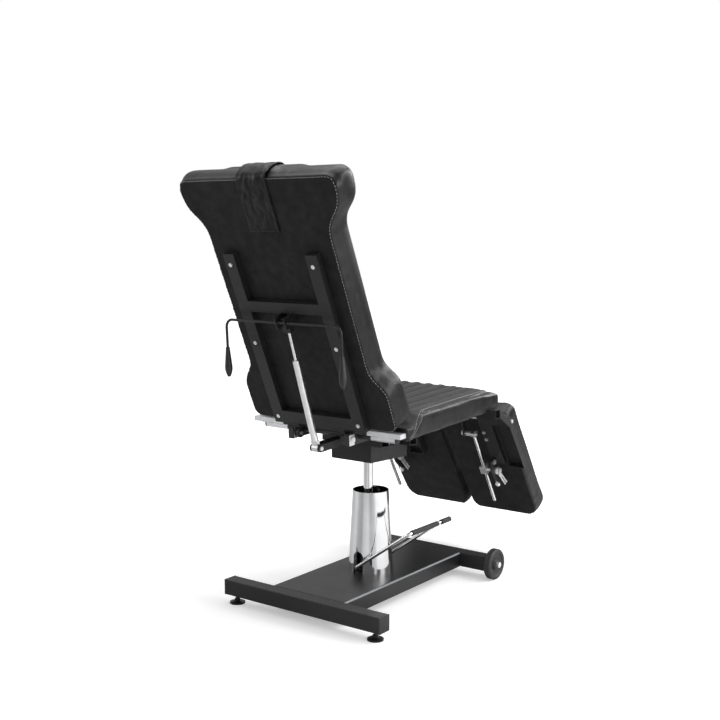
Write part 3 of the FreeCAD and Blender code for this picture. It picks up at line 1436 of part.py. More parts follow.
# Leg rests, in their own frame: Y is zero on the pads' rear face and Z runs up along the pads
def leg_frames():
    """Bar and channel behind each pad, joined near the hinge."""
    for side, shift, sign in LEGS:
        deep = "leg_bar_deep"
        mid = "leg_bar_deep / 2"
        parts = []
        for name, inner, outer, low in (
            ("bar", "leg_bar_inner", "leg_bar_outer", "leg_bar_low"),
            ("channel", "leg_channel_inner", "leg_channel_outer", "leg_channel_low"),
        ):
            wide = f"{outer} - {inner}"
            x = f"{shift} - ({outer} + {inner}) / 2"
            tall = f"leg_bar_high - {low}"
            z = f"(leg_bar_high + {low}) / 2"
            parts.append(box(f"{side}_{name}", wide, deep, tall, (x, mid, z)))
        bridge_wide = "leg_channel_inner - leg_bar_outer"
        bridge_at = (f"{shift} - leg_bar_outer - ({bridge_wide}) / 2", mid, "leg_bar_high - leg_bar_deep")
        parts.append(box(side + "_bridge", bridge_wide, deep, "2 * leg_bar_deep", bridge_at))
        solid = fuse(side + "_leg_solid", *parts)
        wide = "leg_channel_outer - leg_channel_inner - 2 * rail_wall"
        x = f"{shift} - (leg_channel_outer + leg_channel_inner) / 2"
        trough = box(side + "_trough", wide, "leg_bar_deep - rail_wall + cut_over",
                     "leg_hinge_rise - leg_channel_low - leg_bar_deep",
                     (x, "(leg_bar_deep + rail_wall + cut_over) / 2",
                      "(leg_hinge_rise + leg_channel_low - leg_bar_deep) / 2 + rail_wall"))
        bore = rod(side + "_leg_bore", "shaft_radius + running_gap", "leg_channel_outer", "x",
                   (f"{shift} - (leg_channel_outer + leg_bar_inner) / 2", mid, "leg_hinge_rise"))
        node(cut(side + "_leg_cut", solid, trough, bore), side + "_leg_frame", LEG)


def pin_slot(x, clamp_y):
    """Slanting slot that the clamp's pin travels in while its leg rest tilts."""
    radius = size.clamp_pin_radius + size.slot_gap
    low = FreeCAD.Vector(x, clamp_y + size.slot_back, size.clamp_rise - size.slot_back)
    high = FreeCAD.Vector(x, clamp_y - size.slot_ahead, size.clamp_rise + size.slot_ahead)
    across = (high - low).cross(X_AXIS).normalize() * radius
    outline = Part.makePolygon([low - across, high - across, high + across, low + across, low - across])
    along = FreeCAD.Vector(size.angle_plate_thick, 0, 0)
    middle = Part.Face(outline).extrude(along)
    ends = [Part.makeCylinder(radius, size.angle_plate_thick, place, X_AXIS) for place in (low, high)]
    return middle.fuse(ends)


PLATE_ROOT_SHARE = 1.5
PLATE_BULGE_SHARES = (0.78, 0.36)


def angle_plates():
    """Rounded plates on the bars' lower ends, slotted for the clamps' pins."""
    for side, shift, sign in LEGS:
        x = number(f"{shift} - angle_plate_side") - size.angle_plate_thick / 2
        clamp_y = prop_out_at(size.clamp_rise)
        root = size.leg_bar_low + size.leg_bar_deep * PLATE_ROOT_SHARE
        inner = size.leg_bar_deep
        low = size.angle_plate_low
        near = inner / 2
        start = FreeCAD.Vector(x, near, low)
        end = FreeCAD.Vector(x, size.angle_plate_out, size.leg_bar_low)
        bulge = FreeCAD.Vector(x, near + (size.angle_plate_out - near) * PLATE_BULGE_SHARES[0],
                               low + (size.leg_bar_low - low) * PLATE_BULGE_SHARES[1])
        edges = [
            line(FreeCAD.Vector(x, near, size.leg_bar_low), start), arc(start, bulge, end),
            line(end, FreeCAD.Vector(x, size.angle_plate_out - near, root)),
            line(FreeCAD.Vector(x, size.angle_plate_out - near, root), FreeCAD.Vector(x, inner, root)),
            line(FreeCAD.Vector(x, inner, root), FreeCAD.Vector(x, inner, size.leg_bar_low)),
            line(FreeCAD.Vector(x, inner, size.leg_bar_low), FreeCAD.Vector(x, near, size.leg_bar_low)),
        ]
        plate = extruded(edges, FreeCAD.Vector(size.angle_plate_thick, 0, 0))
        bolt_hole = Part.makeCylinder(size.hub_bolt_radius, size.angle_plate_thick,
                                      FreeCAD.Vector(x, size.hub_bolt_out, size.hub_bolt_rise), X_AXIS)
        plate = plate.cut([bolt_hole, pin_slot(x, clamp_y)])
        node(shaped(side + "_sector", plate), side + "_angle_plate", LEG)


def prop_out_at(rise):
    """How far the prop rod's axis stands behind the pad at a height along it."""
    share = (size.prop_pin_rise - rise) / (size.prop_pin_rise - size.prop_foot_rise)
    return size.prop_pin_out + (size.prop_foot_out - size.prop_pin_out) * share


def prop_frame(shift, rise):
    """Frame on the prop rod, its Z axis up along the rod."""
    start = vector(f"{shift} - prop_side", "0", "0")
    place = FreeCAD.Vector(start.x, prop_out_at(rise), rise)
    along = FreeCAD.Vector(0, size.prop_pin_out - size.prop_foot_out, size.prop_pin_rise - size.prop_foot_rise)
    return LEG.multiply(FreeCAD.Placement(place, FreeCAD.Rotation(Z_AXIS, along)))


def clamps():
    """Clamp blocks round the prop rods, each on a pin through its angle plate."""
    for side, shift, sign in LEGS:
        frame = prop_frame(shift, size.clamp_rise)
        block = box(side + "_clamp_block", "2 * clamp_half", "2 * clamp_half", "clamp_tall", ("0", "0", "0"))
        disc_start = "(angle_plate_side + angle_plate_thick / 2 + soft_gap - prop_side)"
        start = "(clamp_half - cut_over)"
        end = f"({disc_start} + 2 * clamp_disc_thick + lever_thick / 2 + 2 * soft_gap)"
        pin = rod(side + "_clamp_pin", "clamp_pin_radius", f"{end} - {start}", "x",
                  (f"-({end} + {start}) / 2", "0", "0"))
        disc = rod(side + "_clamp_disc", "clamp_disc_radius", "clamp_disc_thick", "x",
                   (f"-({disc_start} + clamp_disc_thick / 2)", "0", "0"))
        cap = rod(side + "_clamp_cap", "lever_eye_radius", "clamp_disc_thick", "x",
                  (f"-({end} - clamp_disc_thick / 2)", "0", "0"))
        bore = rod(side + "_clamp_bore", "prop_radius + running_gap", "clamp_tall + cut_over", "z",
                   ("0", "0", "0"))
        solid = fuse(side + "_clamp_solid", block, pin, disc, cap)
        node(cut(side + "_clamp_cut", solid, bore), side + "_clamp", frame)


def prop_rods():
    """Steel rods, each with an eye round its prop pin."""
    for side, shift, sign in LEGS:
        frame = prop_frame(shift, size.prop_pin_rise)
        long = math.hypot(size.prop_pin_rise - size.prop_foot_rise, size.prop_foot_out - size.prop_pin_out)
        bore, wide = size.prop_pin_radius + size.running_gap, size.prop_eye_wide
        shaft = Part.makeCylinder(size.prop_radius, long - bore, FreeCAD.Vector(0, 0, -long))
        eye = Part.makeCylinder(size.prop_eye_radius, wide, FreeCAD.Vector(-wide / 2, 0, 0), X_AXIS)
        hole = Part.makeCylinder(bore, wide, FreeCAD.Vector(-wide / 2, 0, 0), X_AXIS)
        node(shaped(side + "_prop", shaft.fuse(eye).cut(hole).removeSplitter()),
             side + "_prop_rod", frame)


def ball_levers():
    """Levers on the clamp pins, each ending in a polished ball."""
    for side, shift, sign in LEGS:
        x = number(f"{shift} - ball_lever_side")
        centre = FreeCAD.Vector(x, prop_out_at(size.clamp_rise), size.clamp_rise)
        down = FreeCAD.Vector(0, -size.ball_in, -size.ball_drop)
        thick = size.lever_thick
        face = centre - X_AXIS * (thick / 2)
        eye = Part.makeCylinder(size.lever_eye_radius, thick, face, X_AXIS)
        hole = Part.makeCylinder(size.clamp_pin_radius + size.running_gap, thick, face, X_AXIS)
        step = (size.clamp_pin_radius + size.lever_rod_radius) / down.Length
        start = centre + down * step
        arm_long = (centre + down - start).Length
        arm = Part.makeCylinder(size.lever_rod_radius, arm_long, start, down)
        tip = Part.makeSphere(size.ball_radius, centre + down)
        node(shaped(side + "_lever", eye.fuse([arm, tip]).cut(hole)), side + "_ball_lever", LEG)


def flat_levers():
    """Flat forked levers outside the clamp discs, bent away from the pads."""
    for side, shift, sign in LEGS:
        face = number(f"{shift} - angle_plate_side - angle_plate_thick / 2 - clamp_disc_thick")
        thick = size.lever_thick / 2
        x = face - thick - 2 * size.soft_gap
        wide, long = size.flat_lever_wide, size.flat_lever_long
        y, z = prop_out_at(size.clamp_rise), size.clamp_rise
        eye = Part.makeCylinder(wide / 2 + size.cut_over, thick, FreeCAD.Vector(x, y, z), X_AXIS)
        root = Part.makeBox(thick, wide, wide, FreeCAD.Vector(x, y - wide / 2, z - wide))
        blade = Part.makeBox(thick, wide, long - wide, FreeCAD.Vector(x, y - wide / 2, z - long))
        slot = Part.makeBox(thick, size.flat_lever_slot, long / 2,
                            FreeCAD.Vector(x, y - size.flat_lever_slot / 2, z - long))
        blade = blade.cut(slot)
        blade.rotate(FreeCAD.Vector(x + thick, y, z - wide), Y_AXIS, size.leg_slope / 2)
        hole = Part.makeCylinder(size.clamp_pin_radius + size.running_gap, thick,
                                 FreeCAD.Vector(x, y, z), X_AXIS)
        lever = eye.fuse([root, blade])
        node(shaped(side + "_flat", lever.cut(hole)), side + "_flat_lever", LEG)


def leg_outline(side_sign, grow, y):
    """Closed outline of one pad in the plane at y, its outer side tapering to the foot."""
    inner, top, foot = size.leg_inner, size.leg_top + grow, -size.leg_foot - grow
    corner_points = [
        FreeCAD.Vector(inner - grow, foot, 0), FreeCAD.Vector(size.leg_outer_foot + grow, foot, 0),
        FreeCAD.Vector(size.leg_outer_top + grow, top, 0), FreeCAD.Vector(inner - grow, top, 0),
    ]
    radii = (size.leg_inner_corner, size.leg_outer_corner, size.leg_inner_corner, size.leg_edge)
    edges = rounded_outline(corner_points, radii, lambda point: FreeCAD.Vector(side_sign * point.x, y, point.y))
    return Part.Wire(edges)


def leg_pads():
    """Board and cushion of each leg rest: the cushion is drawn in at the board and at its front."""
    for side, shift, sign in LEGS:
        board_face = -size.leg_board_thick
        board = Part.Face(leg_outline(sign, -size.leg_inner, 0)).extrude(FreeCAD.Vector(0, board_face, 0))
        node(shaped(side + "_board", board), side + "_leg_board", LEG)
        front = -size.leg_thick
        edge = size.leg_edge
        low_edge = board_face - edge / 2
        wires = [
            leg_outline(sign, -size.leg_inner, board_face), leg_outline(sign, 0, low_edge),
            leg_outline(sign, 0, front + edge), leg_outline(sign, -edge / 3, front + edge / 3),
            leg_outline(sign, -edge, front),
        ]
        pad_shape = Part.makeLoft(wires, True, True)
        node(shaped(side + "_foam", pad_shape), side + "_leg_cushion", LEG)


LEG_SCREWS = (
    ("leg_bar_inner + screw_radius + rail_wall", "prop_pin_rise + screw_radius"),
    ("leg_bar_inner + screw_radius + rail_wall", "prop_pin_rise - 4 * screw_radius"),
)


def leg_screws():
    for side, shift, sign in LEGS:
        places = [(f"{shift} - ({x})", z) for x, z in LEG_SCREWS]
        heads = [
            rod(f"{side}_leg_screw_{index}", "screw_radius", "screw_head", "y",
                (x, "leg_bar_deep + screw_head / 2", z))
            for index, (x, z) in enumerate(places)
        ]
        bolt_x = f"{shift} - angle_plate_side"
        place = ("hub_bolt_out", "hub_bolt_rise")
        shank = rod(side + "_hub_shank", "hub_bolt_radius", "angle_plate_thick", "x", (bolt_x, *place))
        half = "(angle_plate_thick / 2 + nut_thick / 4)"
        nut = rod(side + "_hub_nut", "nut_radius", "nut_thick / 2", "x", (f"{bolt_x} + {half}", *place))
        cap = rod(side + "_hub_cap", "nut_radius", "nut_thick / 2", "x", (f"{bolt_x} - {half}", *place))
        heads.append(fuse(side + "_hub_bolt", shank, nut, cap))
        node(group(side + "_screws", *heads), side + "_leg_bolts", LEG)


BUILDERS = (
    rear_crossbar, front_crossbar, crossbar_caps, deck_plate, levelling_feet, wheels, wheel_bolts,
    pump_cover, pump_cylinder, piston_rod, foot_pedal, pedal_sleeve,
    swivel_housing, swivel_hub, cross_channels, housing_bolts, seat_rails, seat_tube_caps, cross_tube,
    seat_pan, front_cross_bar, hinge_pins, spring_fork, leg_brackets, leg_pins, seat_cushion,
    back_rails, back_cross_tubes, hinge_ears, spring_bracket, back_screws, back_panel, back_cushion,
    head_strap, head_pillow, gas_spring, release_bar,
    leg_frames, angle_plates, clamps, prop_rods, ball_levers, flat_levers, leg_pads, leg_screws,
)
for build in BUILDERS:
    build()
doc.recompute()

for obj in doc.Objects:
    if {"Invalid", "Error"} & set(obj.State):
        raise ValueError(obj.Name + " did not build")
os.makedirs("parts", exist_ok=True)
for obj in NODES:
    if obj.Shape.isNull() or not obj.Shape.isValid() or not obj.Shape.Solids:
        raise ValueError(obj.Label + " is not a valid solid")
    obj.Shape.exportStep("parts/" + obj.Label + ".step")
print(len(NODES), "nodes written")
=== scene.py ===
# %% [markdown]
# # A tattoo chair, dressed
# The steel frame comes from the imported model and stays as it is. This file gives it
# its finishes, makes the leather cushions, bands and stitches that cover it, and sets
# up the light and the camera. Everything is in metres, standing on the floor at z = 0.

# %% The frame
import math

import bmesh
import bpy
import numpy as np
from mathutils import Matrix, Vector, noise
from mathutils.bvhtree import BVHTree

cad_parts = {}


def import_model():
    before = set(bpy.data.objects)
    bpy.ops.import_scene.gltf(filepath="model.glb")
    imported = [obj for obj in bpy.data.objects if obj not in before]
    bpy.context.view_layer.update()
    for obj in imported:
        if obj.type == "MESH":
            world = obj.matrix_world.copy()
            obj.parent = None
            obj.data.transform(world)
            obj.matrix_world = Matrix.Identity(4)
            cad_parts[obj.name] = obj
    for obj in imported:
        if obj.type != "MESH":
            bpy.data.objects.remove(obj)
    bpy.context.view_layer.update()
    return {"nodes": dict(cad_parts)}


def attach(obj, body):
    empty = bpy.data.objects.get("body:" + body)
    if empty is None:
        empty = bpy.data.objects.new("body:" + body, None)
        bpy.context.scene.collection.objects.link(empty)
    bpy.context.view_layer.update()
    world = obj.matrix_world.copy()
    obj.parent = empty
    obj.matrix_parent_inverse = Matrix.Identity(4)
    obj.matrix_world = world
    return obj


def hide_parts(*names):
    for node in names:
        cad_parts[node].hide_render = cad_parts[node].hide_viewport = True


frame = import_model()
scene = bpy.context.scene

# %% [markdown]
# ## Materials
# Nearly all of this chair is black, so its finishes differ in gloss and grain more than in
# colour; the deck's bends carry a painted highlight. Each recipe below reads the piece's own
# coordinates, which keeps the grain at its real size, and bends the light with bump rather
# than with shape.

# %% Sockets and sums
def joined(tree, socket, value):
    """Links another node's output into a socket, or sets the socket to a plain value."""
    if isinstance(value, bpy.types.NodeSocket):
        tree.links.new(value, socket)
    else:
        socket.default_value = value


def maths(tree, operation, *values):
    """The result of one Math node; each value is a number or another node's output."""
    node = tree.nodes.new("ShaderNodeMath")
    node.operation = operation
    for socket, value in zip(node.inputs, values):
        joined(tree, socket, value)
    return node.outputs[0]


print("sockets and sums ready")

# %% A small kit for building materials
class Recipe:
    """One material: a shader, the piece's own coordinates, and short calls that add nodes."""

    def __init__(self, name, colour, rough, metal=0.0):
        self.material = bpy.data.materials.new(name)
        self.material.use_nodes = True
        self.tree = self.material.node_tree
        self.shader = self.tree.nodes["Principled BSDF"]
        self.shader.inputs["Base Color"].default_value = (*colour, 1)
        self.shader.inputs["Roughness"].default_value = rough
        self.shader.inputs["Metallic"].default_value = metal
        self.place = self.add("ShaderNodeTexCoord").outputs["Object"]

    def add(self, kind, **sockets):
        node = self.tree.nodes.new(kind)
        for name, value in sockets.items():
            self.put(node.inputs[name.replace("_", " ")], value)
        return node

    def put(self, socket, value):
        joined(self.tree, socket, value)

    def noise(self, scale, detail):
        node = self.add("ShaderNodeTexNoise", Vector=self.place, Scale=scale, Detail=detail)
        return node.outputs["Fac"]

    def cells(self, scale, feature="F1"):
        node = self.add("ShaderNodeTexVoronoi", Vector=self.place, Scale=scale)
        node.feature = feature
        return node.outputs["Distance"]

    def between(self, value, low, high, start=0.0, end=1.0):
        """The value with start to end spread over low to high, and held there outside."""
        node = self.add("ShaderNodeMapRange", Value=value, From_Min=start, From_Max=end,
                        To_Min=low, To_Max=high)
        return node.outputs["Result"]

    def blend(self, share, *colours):
        """A mix of two colours; each is three numbers or another node's output."""
        node = self.tree.nodes.new("ShaderNodeMix")
        node.data_type = "RGBA"
        self.put(node.inputs["Factor"], share)
        # A Mix node has an A and a B for every kind of data; 6 and 7 are those for colour
        for socket, colour in zip((node.inputs[6], node.inputs[7]), colours):
            self.put(socket, (*colour, 1) if isinstance(colour, tuple) else colour)
        return node.outputs[2]

    def bump(self, height, distance):
        """A bump laid over those that are already there."""
        node = self.add("ShaderNodeBump", Height=height, Distance=distance)
        normal = self.shader.inputs["Normal"]
        if normal.links:
            self.put(node.inputs["Normal"], normal.links[0].from_socket)
        self.put(normal, node.outputs["Normal"])

    def colour(self, value):
        self.put(self.shader.inputs["Base Color"], value)

    def rough(self, value):
        self.put(self.shader.inputs["Roughness"], value)


print("material kit ready")

# %% [markdown]
# ### Leather and vinyl
# Faux leather is a rolled sheet: a fine pebble grain, a few softer creases, and a
# satin gloss that is a little uneven. Down in a sewn valley the gloss is gone and the
# colour is darkened as painted shade, which an attribute on the mesh tells the material.
# The sheet on the back of the boards is the same stuff, only duller and finer, so it
# catches less light.

# %% Leather
leather_black = (0.0075, 0.0075, 0.0083)
# the near-black colour that paints shade into the sewn valleys
valley_painted_shade = (0.0015, 0.0015, 0.0015)


def leather(name, colour, rough, grain, creases, gloss, sewn=False):
    """Sewn leather is duller along its valleys, where polish never reaches, and darker there as
    painted shade.
    """
    recipe = Recipe(name, colour, rough)
    pebble = recipe.cells(620, "SMOOTH_F1")
    soft = recipe.noise(34, 4)
    wide = recipe.noise(7, 2)
    recipe.bump(pebble, grain)
    recipe.bump(soft, creases)
    sheen = recipe.between(wide, rough - 0.05, rough + 0.09, 0.3, 0.7)
    pale = tuple(min(1.0, 1.5 * part + 0.004) for part in colour)
    tone = recipe.blend(recipe.between(soft, 0, 1, 0.35, 0.75), colour, pale)
    if sewn:
        valley = recipe.add("ShaderNodeAttribute")
        valley.attribute_name = "valley"
        depth = valley.outputs["Fac"]
        sheen = maths(recipe.tree, "MAXIMUM", sheen, recipe.between(depth, 0, 0.95))
        # painted shade: the colour goes near black down in each sewn valley
        tone = recipe.blend(depth, tone, valley_painted_shade)
    recipe.rough(sheen)
    recipe.colour(tone)
    recipe.shader.inputs["Specular IOR Level"].default_value = gloss
    return recipe.material


black_leather = leather("black leather", leather_black, rough=0.33, grain=0.0002,
                        creases=0.0015, gloss=0.29)
sewn_leather = leather("black leather in channels", leather_black, rough=0.33, grain=0.0002,
                       creases=0.0012, gloss=0.29, sewn=True)
strap_leather = leather("creased strap leather", (0.0062, 0.0062, 0.007), rough=0.36,
                        grain=0.00024, creases=0.0038, gloss=0.24)
panel_vinyl = leather("dull panel vinyl", (0.0115, 0.0115, 0.012), rough=0.6, grain=0.0001,
                      creases=0.0002, gloss=0.16)
print("leathers made")

# %% [markdown]
# ### Painted, plated and moulded finishes
# Powder coat has a faint orange-peel. Chrome is nearly a mirror with a trace of
# smudging. Cast and zinc-plated steel are greyer and cloudy. Plastic and rubber get a
# fine moulded tooth.

# %% Recipes for metals and plastics
def powder_coat(name, colour, rough):
    recipe = Recipe(name, colour, rough)
    recipe.shader.inputs["Specular IOR Level"].default_value = 0.3
    recipe.bump(recipe.noise(1500, 2), 0.00012)
    recipe.bump(recipe.noise(240, 1), 0.0001)
    recipe.rough(recipe.between(recipe.noise(26, 3), rough - 0.06, rough + 0.07))
    return recipe.material


def plated(name, colour, rough, spread, scale):
    """Bare or plated metal; spread is how far its gloss varies from cloud to cloud."""
    recipe = Recipe(name, colour, rough, 1.0)
    cloud = recipe.noise(scale, 4)
    recipe.rough(recipe.between(cloud, max(0.02, rough - spread), rough + spread, 0.3, 0.7))
    dark = tuple(0.86 * part for part in colour)
    recipe.colour(recipe.blend(recipe.between(cloud, 0, 1, 0.3, 0.7), dark, colour))
    recipe.bump(recipe.noise(scale * 9, 2), 0.00002)
    return recipe.material


def moulded(name, colour, rough, tooth):
    recipe = Recipe(name, colour, rough)
    recipe.bump(recipe.cells(900), tooth)
    recipe.rough(recipe.between(recipe.noise(60, 3), rough - 0.07, rough + 0.07))
    return recipe.material


print("recipes: powder coat, plate and moulding")

# %% Black paint that stops at a line
paint_black = (0.0205, 0.0205, 0.0215)
zinc_grey = (0.88, 0.885, 0.9)


def part_painted(name, axis, start, end):
    """Zinc plate past a distance along one axis, and black paint up to it."""
    recipe = Recipe(name, zinc_grey, 0.42, 1.0)
    parts = recipe.add("ShaderNodeSeparateXYZ", Vector=recipe.place)
    bare = recipe.between(maths(recipe.tree, "ABSOLUTE", parts.outputs[axis]), 0, 1, start, end)
    cloud = recipe.noise(55, 4)
    zinc = recipe.blend(cloud, (0.76, 0.765, 0.78), (0.92, 0.925, 0.94))
    recipe.colour(recipe.blend(bare, paint_black, zinc))
    recipe.put(recipe.shader.inputs["Metallic"], bare)
    recipe.rough(recipe.between(cloud, 0.34, 0.5))
    recipe.bump(recipe.noise(400, 2), 0.00005)
    return recipe.material


print("recipe: zinc under paint")

# %% The hard finishes
black_paint = powder_coat("black powder coat", paint_black, rough=0.4)
rail_finish = part_painted("painted rail, zinc end", "Y", start=0.3105, end=0.3115)
pan_finish = part_painted("pan, zinc at its sides", "X", start=0.165, end=0.168)
chrome = plated("chrome plate", (0.8, 0.805, 0.815), rough=0.07, spread=0.03, scale=18)
rod_chrome = plated("chrome rods and levers", (0.9, 0.9, 0.91), rough=0.2, spread=0.05, scale=60)
bright_steel = plated("bright screws", (0.93, 0.93, 0.94), rough=0.42, spread=0.06, scale=120)
cast_steel = plated("satin cast levers", (0.97, 0.97, 0.98), rough=0.52, spread=0.06, scale=70)
silver_barrel = plated("silver barrel", (0.93, 0.93, 0.94), rough=0.36, spread=0.05, scale=30)
dark_steel = plated("dark oiled steel", (0.09, 0.09, 0.095), rough=0.3, spread=0.08, scale=40)
black_plastic = moulded("black plastic", (0.018, 0.018, 0.019), rough=0.42, tooth=0.00008)
foot_plastic = moulded("hard black foot", (0.012, 0.012, 0.0125), rough=0.36, tooth=0.00006)
rubber = moulded("black rubber", (0.02, 0.02, 0.021), rough=0.55, tooth=0.00012)
print("hard finishes made")

# %% [markdown]
# ### The deck
# The deck is one folded sheet. Its long bends are painted bright as a highlight, and a
# rule on the surface's own normal finds them: only the bends face half up and half sideways.

# %% Deck sheet with painted highlights on its bends
def deck_finish():
    recipe = Recipe("black deck sheet", (0.017, 0.017, 0.0185), 0.34)
    normal = recipe.add("ShaderNodeTexCoord").outputs["Normal"]
    parts = recipe.add("ShaderNodeSeparateXYZ", Vector=normal)
    sideways = maths(recipe.tree, "ABSOLUTE", parts.outputs["X"])
    slanting = maths(recipe.tree, "MULTIPLY", sideways, parts.outputs["Z"])
    bend_highlight = recipe.between(slanting, 0, 1, 0.2, 0.42)
    # painted highlight: pale grey colour on the bends that face half up and half sideways
    recipe.colour(recipe.blend(bend_highlight, (0.012, 0.012, 0.013), (0.26, 0.27, 0.28)))
    recipe.bump(recipe.noise(1500, 2), 0.0001)
    recipe.rough(recipe.between(recipe.noise(12, 3), 0.28, 0.42))
    return recipe.material


deck_sheet = deck_finish()
print("deck sheet made")

# %% [markdown]
# ## Dressing the frame
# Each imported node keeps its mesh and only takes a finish. The cushions take one too,
# although the soft pieces that are made further down will stand in for them.

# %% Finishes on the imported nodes
def wear(material, *names):
    for name in names:
        mesh = frame["nodes"][name].data
        mesh.materials.clear()
        mesh.materials.append(material)


wear(black_paint, "rear_crossbar", "front_crossbar", "swivel_housing", "swivel_hub",
     "cross_channels", "front_cross_bar", "spring_fork", "leg_brackets", "back_rails",
     "back_cross_tubes", "hinge_ears", "spring_bracket", "release_head", "left_leg_frame",
     "right_leg_frame", "left_angle_plate", "right_angle_plate", "release_bar")
wear(deck_sheet, "deck_plate")
wear(black_plastic, "crossbar_caps", "seat_tube_caps", "release_grips")
wear(foot_plastic, "left_levelling_foot", "right_levelling_foot")
wear(rubber, "left_wheel", "right_wheel", "pedal_sleeve")
wear(bright_steel, "wheel_bolts", "housing_bolts", "back_screws", "hinge_pins", "leg_pins",
     "left_leg_bolts", "right_leg_bolts")
wear(cast_steel, "left_flat_lever", "right_flat_lever", "left_ball_lever", "right_ball_lever",
     "left_clamp", "right_clamp")
wear(chrome, "pump_cover", "piston_rod")
wear(rod_chrome, "foot_pedal", "gas_spring_rod", "left_prop_rod", "right_prop_rod")
wear(rail_finish, "seat_rails")
wear(pan_finish, "seat_pan", "cross_tube")
wear(silver_barrel, "gas_spring_body")
wear(dark_steel, "pump_cylinder")
wear(panel_vinyl, "back_panel", "left_leg_board", "right_leg_board")
wear(black_leather, "seat_cushion", "back_cushion", "left_leg_cushion", "right_leg_cushion",
     "head_strap", "head_pillow")
print("finishes on", len(frame["nodes"]), "nodes")

# %% [markdown]
# ## Leaning frames
# The backrest, the seat and the leg rests lean. Each one's own frame has x across,
# y out of its rear face and z up along it, so shapes can be described square to it. The
# places in the shaping steps below are metres in these frames.

# %% Frames of the leaning assemblies
back_lean, seat_lean, leg_lean = 23.488, 2.5, 33.7


def leaning(origin, degrees):
    return Matrix.Translation(Vector(origin)) @ Matrix.Rotation(-math.radians(degrees), 4, "X")


back_frame = leaning((0, 0.342431, 0.618249), back_lean)
seat_frame = leaning((0, 0.0775, 0.5614), seat_lean)
leg_frame = leaning((0, -0.5541, 0.213), leg_lean)


def local(matrix, points):
    inverse = np.array(matrix.inverted())
    return points @ inverse[:3, :3].T + inverse[:3, 3]


def world(matrix, points):
    full = np.array(matrix)
    return points @ full[:3, :3].T + full[:3, 3]


print("leaning by degrees: back", back_lean, "seat", seat_lean, "legs", leg_lean)

# %% [markdown]
# ## Cushions
# Foam under leather swells between its seams. Each cushion starts from the packed
# solid, is remeshed to small even squares, and is blown up a little as cloth, so the
# sides bow and the corners pull in. How far a point may move is capped, which keeps
# the cushion in its place and clear of its neighbours. Channels and puckers come after,
# as lines pressed into the swollen sheet.

# %% Mesh helpers
def vectors(mesh, kind):
    """Each vertex's place (kind "co") or outward direction (kind "normal"), one to a row."""
    flat = np.empty(len(mesh.vertices) * 3)
    mesh.vertices.foreach_get(kind, flat)
    return flat.reshape(-1, 3)


def place_points(mesh, points):
    mesh.vertices.foreach_set("co", points.ravel())
    mesh.update()


def shade(mesh, smooth=True):
    mesh.polygons.foreach_set("use_smooth", [smooth] * len(mesh.polygons))


def new_piece(name, mesh, material, smooth=True):
    piece = bpy.data.objects.new(name, mesh)
    scene.collection.objects.link(piece)
    mesh.materials.clear()
    mesh.materials.append(material)
    shade(mesh, smooth)
    return piece


def settled(piece):
    """The piece's mesh with its modifiers worked in."""
    bpy.context.view_layer.update()
    graph = bpy.context.evaluated_depsgraph_get()
    made = bpy.data.meshes.new_from_object(piece.evaluated_get(graph), depsgraph=graph)
    piece.modifiers.clear()
    old, piece.data = piece.data, made
    made.name = piece.name
    bpy.data.meshes.remove(old)
    return piece


def merged_copy(*nodes, blocks=()):
    """The nodes' meshes as one, with corners welded; a block is a frame and two corners."""
    work = bmesh.new()
    for node in nodes:
        work.from_mesh(frame["nodes"][node].data)
    for matrix, low, high in blocks:
        low, high = Vector(low), Vector(high)
        shape = Matrix.Translation((low + high) / 2) @ Matrix.Diagonal((*(high - low), 1))
        bmesh.ops.create_cube(work, matrix=matrix @ shape)
    mesh = bpy.data.meshes.new("copy")
    bmesh.ops.remove_doubles(work, verts=work.verts, dist=0.00002)
    bmesh.ops.recalc_face_normals(work, faces=work.faces)
    work.to_mesh(mesh)
    work.free()
    return mesh


print("mesh helpers ready")

# %% The cushion maker
swell_frames = 20


def cushion(nodes, name, voxel, smaller, cap, freedom, blocks=()):
    """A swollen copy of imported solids.

    It starts smaller by one length, and no point moves further than the cap times the
    freedom that the given function allows it, from 0 to 1.
    """
    piece = new_piece(name, merged_copy(*nodes, blocks=blocks), black_leather)
    shell = piece.modifiers.new("even squares", "REMESH")
    shell.mode = "VOXEL"
    shell.voxel_size = voxel
    soften = piece.modifiers.new("round edges", "SMOOTH")
    soften.factor = 0.5
    soften.iterations = 4
    settled(piece)
    start = vectors(piece.data, "co") - smaller * vectors(piece.data, "normal")
    place_points(piece.data, start)
    cloth = piece.modifiers.new("swell", "CLOTH")
    cloth.settings.quality = 4
    cloth.settings.tension_stiffness = 12
    cloth.settings.compression_stiffness = 12
    cloth.settings.bending_stiffness = 0.4
    cloth.settings.use_pressure = True
    cloth.settings.uniform_pressure_force = 4
    cloth.settings.effector_weights.gravity = 0
    cloth.collision_settings.use_collision = False
    for step in range(1, swell_frames + 1):
        scene.frame_set(step)
    graph = bpy.context.evaluated_depsgraph_get()
    swollen = vectors(piece.evaluated_get(graph).data, "co")
    piece.modifiers.clear()
    scene.frame_set(1)
    move = swollen - start
    size = np.linalg.norm(move, axis=1, keepdims=True)
    move *= np.minimum(1, cap * np.tanh(size / cap) / np.maximum(size, 1e-9))
    start = start + move * freedom(start)[:, None]
    place_points(piece.data, start)
    finer = piece.modifiers.new("finer", "SUBSURF")
    finer.levels = 1
    finer.render_levels = 1
    settled(piece)
    shade(piece.data)
    return piece


print("cushion maker ready")

# %% Tools that shape a cushion
channel_wide = 0.05


def mark_valleys(piece, depth):
    """Stores how deep in a sewn valley each point lies, and puts the channelled leather on."""
    valley = piece.data.attributes.new("valley", "FLOAT", "POINT")
    valley.data.foreach_set("value", depth.astype(np.float32))
    piece.data.materials[0] = sewn_leather


